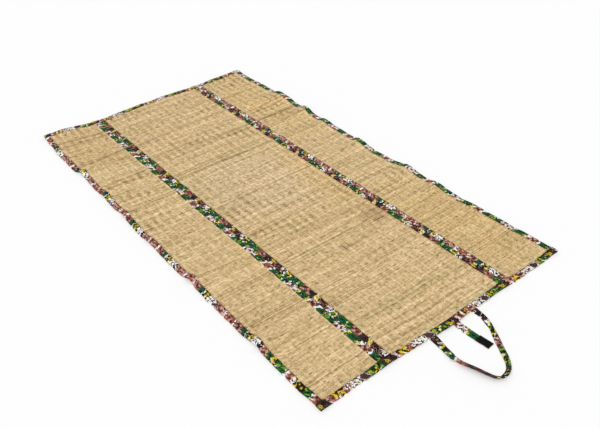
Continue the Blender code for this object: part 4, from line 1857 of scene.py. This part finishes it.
@dataclass
class CarryingLoop:
    """The flat strap that the mat is carried by, lying in a loop on the floor."""

    finish: PrintedCottonFinish
    thickness: float = 1.4 * MM
    stations: int = 240

    def frames(self, count: int) -> tuple[Array, Array, Array, Array]:
        """The strap's middle at the floor side, its outer side, its up and its half width."""
        x, y, width, turn = smooth_table(HANDLE, count).T
        middle = np.stack((x, y), axis=1) * MM
        way = unit(np.gradient(middle, axis=0))
        side = np.stack((way[:, 1], -way[:, 0]), axis=1)
        angle = np.radians(np.clip(turn, 0.0, None))
        out = np.stack((side[:, 0] * np.cos(angle), side[:, 1] * np.cos(angle), np.sin(angle)), 1)
        up = np.stack((-side[:, 0] * np.sin(angle), -side[:, 1] * np.sin(angle), np.cos(angle)), 1)
        half = width * MM / 2.0
        base = np.concatenate((middle, (half * np.abs(np.sin(angle)))[:, None]), axis=1)
        return base, out, up, half

    def build(self) -> Piece:
        """The strap: a flat strip with rounded sides and a few lengthwise ripples.

        Returns:
            The strap's object.
        """
        base, out, up, half = self.frames(self.stations)
        distance = run_along(base)
        spread, level = STRAP_SPREAD, STRAP_LEVEL
        ripple = np.zeros((self.stations, len(spread)))
        for column in np.flatnonzero(level == 1.0):
            ripple[:, column] = 0.25 * MM * drift(610 + column, distance, 0.02)
        waver = 0.4 * MM * drift(640, distance, 0.03)
        wide = (half + waver)[:, None] * spread[None]
        rise = self.thickness * level[None] + ripple
        rings = base[:, None] + out[:, None] * wide[..., None] + up[:, None] * rise[..., None]
        flat = unfolded(spread * float(half.mean()), level * self.thickness)
        strap = skinned("carrying_loop", rings, flat, distance, self.finish.material())
        settle(strap, Slot.PRINTED_TAPE, "handle_strap")
        return strap

    def stitches(self, thread: bpy.types.Material) -> Piece:
        """A row of stitches along the strap's outer side."""
        count = 98
        base, out, up, half = self.frames(count * 4)
        pick = slice(20, -20, 4)
        along = unit(np.gradient(base, axis=0))[pick]
        middle = (base + out * (half - 2.2 * MM)[:, None] + up * (self.thickness + 0.2 * MM))[pick]
        shape = thread_arc(3.7 * MM, THREAD_RADIUS, THREAD_RISE)
        row = copies("carrying_loop_stitches", shape, middle, along, out[pick], up[pick], thread)
        return settle(row, Slot.PRINTED_TAPE)


@dataclass
class ClosingTab:
    """The short strap that closes the rolled mat, with the hook patch on its end."""

    finish: PrintedCottonFinish
    patch_finish: HookTapeFinish
    thickness: float = 1.4 * MM
    patch_length: float = 40.0 * MM
    patch_overhang: float = 1.0 * MM
    patch_thickness: float = 0.7 * MM

    def middle_line(self, count: int) -> tuple[Array, Array, Array]:
        """The tab's middle on its underside, its side and its half width."""
        x, y, width, height = smooth_table(CLOSING_TAB, count).T
        middle = np.stack((x, y, np.clip(height, 0.0, None)), axis=1) * MM
        way = unit(np.gradient(middle[:, :2], axis=0))
        side = np.stack((way[:, 1], -way[:, 0], np.zeros(count)), axis=1)
        return middle, side, width * MM / 2.0

    def build(self) -> Piece:
        """The tab as one closed skin.

        Returns:
            The tab's object.
        """
        middle, side, half = self.middle_line(80)
        distance = run_along(middle)
        spread, level = STRAP_SPREAD, STRAP_LEVEL
        waver = 0.35 * MM * drift(650, distance, 0.02)
        wide = (half + waver)[:, None] * spread[None]
        rise = UP * (self.thickness * level)[None, :, None]
        rings = middle[:, None] + side[:, None] * wide[..., None] + rise
        flat = unfolded(spread * float(half.mean()), level * self.thickness)
        tab = skinned("closing_strap", rings, flat, distance, self.finish.material())
        settle(tab, Slot.PRINTED_TAPE, "closing_tab")
        return tab

    def patch_frame(self) -> tuple[Array, Array, Array, float]:
        """The patch's end corner line: its middle, its way back along the tab, its side, half."""
        middle, side, half = self.middle_line(80)
        back = unit((middle[-12] - middle[-1])[None])[0]
        return middle[-1], back, side[-1], float(half[-1]) + self.patch_overhang

    def patch(self) -> Piece:
        """The hook tape's backing: a thin strip with rounded edges.

        Returns:
            The backing's object.
        """
        end, back, side, half = self.patch_frame()
        t = np.array((0.0, 0.012, 0.03, 0.97, 0.988, 1.0))
        rise = np.array((0.35, 0.8, 1.0, 1.0, 0.8, 0.35)) * self.patch_thickness
        spread = np.array((-1.0, 1.0, 1.0, 0.95, -0.95, -1.0))
        level = np.array((0.0, 0.0, 0.5, 1.0, 1.0, 0.5))
        base = end + back * (t * self.patch_length)[:, None] + UP * (self.thickness + GAP)
        rings = (
            base[:, None]
            + side * (half * spread)[None, :, None]
            + UP * (rise[:, None] * level[None])[..., None]
        )
        flat = unfolded(spread * half, level * self.patch_thickness)
        patch = skinned(
            "hook_pad", rings, flat, t * self.patch_length, self.patch_finish.material()
        )
        return settle(patch, Slot.HOOK_TAPE, "hook_patch")

    def hooks(self) -> Piece:
        """Rows of small nylon hooks on the backing, each a thread that bends over.

        Returns:
            All the hooks as one object.
        """
        end, back, side, half = self.patch_frame()
        rows, files = 20, 12
        s = np.linspace(3.4 * MM, self.patch_length - 3.4 * MM, rows)
        a = np.linspace(-half + 3.4 * MM, half - 3.4 * MM, files)
        s, a = (grid.ravel() for grid in np.meshgrid(s, a, indexing="ij"))
        height = self.thickness + GAP + self.patch_thickness
        middle = end + back * s[:, None] + side * a[:, None] + UP * height
        turn = np.radians((0.0, 60.0, 120.0, 180.0))
        angle = np.radians((90.0, 210.0, 330.0))
        bend = 0.42 * MM
        centre_x = -bend * np.cos(turn)
        centre_z = bend * 1.35 * np.sin(turn) - 0.1 * MM
        thick = 0.16 * MM
        shape = np.stack(
            (
                centre_x[:, None] + thick * np.sin(angle)[None] * np.cos(turn)[:, None],
                thick * np.cos(angle)[None] * np.ones((4, 1)),
                centre_z[:, None] + thick * np.sin(angle)[None] * np.sin(turn)[:, None],
            ),
            axis=-1,
        )
        one = np.ones((len(s), 1))
        material = self.patch_finish.material()
        pile = copies("hook_pile", shape, middle, back * one, side * one, UP * one, material)
        return settle(pile, Slot.HOOK_TAPE)

    def stitches(self, thread: bpy.types.Material) -> Piece:
        """The stitches round the patch, a little in from its edge.

        Args:
            thread: the thread's material.

        Returns:
            All the stitches as one object.
        """
        end, back, side, half = self.patch_frame()
        inset, pitch = 1.7 * MM, 3.2 * MM
        length, wide = self.patch_length - 2.0 * inset, 2.0 * (half - inset)
        run = 2.0 * (length + wide)
        place = np.arange(0.5 * pitch, run, pitch)
        corner = np.array(((0.0, 0.0), (length, 0.0), (length, wide), (0.0, wide), (0.0, 0.0)))
        at = np.array((0.0, length, length + wide, 2.0 * length + wide, run))
        s = np.interp(place, at, corner[:, 0]) + inset
        a = np.interp(place, at, corner[:, 1]) - half + inset
        leg = np.clip(np.searchsorted(at, place) - 1, 0, 3)
        height = self.thickness + GAP + self.patch_thickness
        middle = end + back * s[:, None] + side * a[:, None] + UP * height
        ways = np.stack((back, side, -back, -side))[leg]
        up = np.tile(UP, (len(place), 1))
        shape = thread_arc(2.5 * MM, 0.24 * MM, 0.35 * MM)
        row = copies("hook_pad_stitches", shape, middle, ways, np.cross(up, ways), up, thread)
        return settle(row, Slot.HOOK_TAPE)


@dataclass
class WovenMat:
    """The whole mat."""

    mat: LyingMat
    effects: Effects

    def build(self) -> None:
        """Builds every piece, from the panels out to the loop and the tab."""
        left_edge, left_seam, _, right_seam, right_edge = self.mat.flat_x
        half_gap = GAP / 2.0
        thread = ThreadFinish("dark_thread", self.effects, pigment(58, 44, 38)).material()
        panels = (
            ("left", left_edge, left_seam - half_gap, 31, ("left_outer", "left_inner")),
            ("centre", left_seam + half_gap, right_seam - half_gap, 64,
             ("centre_left", "centre_right")),
            ("right", right_seam + half_gap, right_edge, 32, ("right_inner", "right_outer")),
        )
        for number, (side, left, right, intervals, tapes) in enumerate(panels):
            StrawPanel(
                name="woven_" + side,
                node="panel_" + side,
                left=left,
                right=right,
                tapes=tuple("tape_" + tape for tape in tapes),
                mat=self.mat,
                finish=StrawFinish("rush_straw_" + side, self.effects, 40.0 * number),
                seed=1000 + 20 * number,
                intervals=intervals,
            ).build()
        long_tapes = (
            ("left_outer", left_edge, 1, CHART_RUST, FLOWERS_RUST, -0.526, False),
            ("left_inner", left_seam - half_gap, -1, CHART_GREEN, FLOWERS_GREEN, -0.593, False),
            ("centre_left", left_seam + half_gap, 1, CHART_DARK, FLOWERS_DARK, -0.529, False),
            ("centre_right", right_seam - half_gap, -1, CHART_DARK, FLOWERS_DARK, -0.548, True),
            ("right_inner", right_seam + half_gap, 1, CHART_RUST, FLOWERS_RUST, -0.528, False),
            ("right_outer", right_edge, -1, CHART_GREEN, FLOWERS_GREEN, -0.595, False),
        )
        tapes = {}
        for number, (side, edge, inward, chart, flowers, start, turned) in enumerate(long_tapes):
            finish = PrintedCottonFinish(
                "printed_cotton_" + side, self.effects, chart, start, turned, flowers=flowers
            )
            tapes[side] = LongTape(
                "tape_" + side, "binding_" + side, edge, inward, self.mat, finish, 100 + 10 * number
            )
            if side == "left_outer":
                tapes[side].pieced = PrintedCottonFinish(
                    "printed_cotton_corner", self.effects, CHART_CORNER, -0.632
                )
            tapes[side].build()
            tapes[side].stitches(thread)
        SeamJoin("seam_left_stitches", tapes["left_inner"], tapes["centre_left"]).build(thread)
        SeamJoin("seam_right_stitches", tapes["centre_right"], tapes["right_inner"]).build(thread)
        ends = (("near", NEAR_END, -0.450, 0.214), ("far", FAR_END, -0.450, 0.195))
        for number, (side, end, start, repeat) in enumerate(ends):
            finish = PrintedCottonFinish(
                "printed_cotton_" + side, self.effects, CHART_END, start, True, repeat, FLOWERS_END
            )
            name, node = "tape_" + side + "_end", "end_binding_" + side
            tape = EndTape(name, node, end, self.mat, finish, 200 + 10 * number)
            tape.build()
            tape.stitches(thread)
        loop = CarryingLoop(
            PrintedCottonFinish("printed_cotton_loop", self.effects, CHART_LOOP, 0.0, True, 0.484)
        )
        loop.build()
        loop.stitches(thread)
        tab = ClosingTab(
            PrintedCottonFinish("printed_cotton_tab", self.effects, CHART_GREEN, -0.046, True),
            HookTapeFinish("black_hook_tape", self.effects),
        )
        tab.build()
        tab.patch()
        tab.hooks()
        tab.stitches(thread)


@dataclass(frozen=True)
class Studio:
    """A pale floor, a soft key light from the near left, and the camera of the photograph."""

    place: tuple[float, float, float] = (-1.0506835, -1.5806035, 1.2546054)
    right: tuple[float, float, float] = (0.7851754, -0.6187318, -0.0258964)
    down: tuple[float, float, float] = (-0.3816933, -0.4505949, -0.8070158)
    forward: tuple[float, float, float] = (0.4876576, 0.6435334, -0.5899617)
    focal_pixels: float = 669.6193
    image_width: float = 600.0
    sensor: float = 36.0
    sky: float = 0.62
    key_strength: float = 1.9
    key_spread: float = 0.45
    key_from: tuple[float, float, float] = (-0.75, -0.55, 1.0)
    floor_size: float = 30.0
    floor_level: float = -0.0004

    def camera(self) -> None:
        """The camera: its three axes are the columns of its turn."""
        data = bpy.data.cameras.new("studio_camera")
        data.sensor_fit = "HORIZONTAL"
        data.sensor_width = self.sensor
        data.lens = self.focal_pixels / self.image_width * self.sensor
        data.clip_end = 60.0
        camera = bpy.data.objects.new("studio_camera", data)
        up, back = (tuple(-v for v in axis) for axis in (self.down, self.forward))
        columns = (self.right, up, back, self.place)
        rows = [[column[axis] for column in columns] for axis in range(3)]
        camera.matrix_world = Matrix(rows + [[0.0, 0.0, 0.0, 1.0]])
        bpy.context.scene.collection.objects.link(camera)
        bpy.context.scene.camera = camera

    def key(self) -> None:
        """A broad sun-like light, the same all over the floor, aimed down its own -Z axis."""
        data = bpy.data.lights.new("key_light", "SUN")
        data.energy = self.key_strength
        data.angle = self.key_spread
        lamp = bpy.data.objects.new("key_light", data)
        z = unit(np.array(self.key_from))
        x = unit(np.cross(UP, z))
        y = np.cross(z, x)
        rows = [[float(x[a]), float(y[a]), float(z[a]), 0.0] for a in range(3)]
        lamp.matrix_world = Matrix(rows + [[0.0, 0.0, 0.0, 1.0]])
        bpy.context.scene.collection.objects.link(lamp)

    def floor(self) -> None:
        """A plain pale floor just under the mat."""
        half = self.floor_size / 2.0
        mesh = bpy.data.meshes.new("studio_floor")
        turns = ((-half, -half), (half, -half), (half, half), (-half, half))
        corners = [(x, y, self.floor_level) for x, y in turns]
        mesh.from_pydata(corners, [], [(0, 1, 2, 3)])
        material, _, shader = new_material("pale_floor")
        shader.inputs["Base Color"].default_value = (0.93, 0.93, 0.93, 1.0)
        shader.inputs["Roughness"].default_value = 0.9
        shader.inputs["Specular IOR Level"].default_value = 0.0
        mesh.materials.append(material)
        floor = bpy.data.objects.new("studio_floor", mesh)
        bpy.context.scene.collection.objects.link(floor)

    def build(self) -> None:
        """Sets up the camera, the lights, the floor and the plain view."""
        self.camera()
        self.floor()
        self.key()
        world = bpy.data.worlds.new("studio_world")
        world.use_nodes = True
        background = world.node_tree.nodes["Background"]
        background.inputs["Color"].default_value = (1.0, 1.0, 1.0, 1.0)
        background.inputs["Strength"].default_value = self.sky
        scene = bpy.context.scene
        scene.world = world
        scene.view_settings.view_transform = "Standard"
        scene.view_settings.look = "None"
        scene.view_settings.exposure = 0.0
        scene.view_settings.gamma = 1.0


def main() -> None:
    """Builds the studio and the mat."""
    logging.basicConfig(level=logging.INFO, format="%(name)s: %(message)s")
    Studio().build()
    WovenMat(LyingMat(), Effects()).build()


if __name__ == "__main__":
    main()
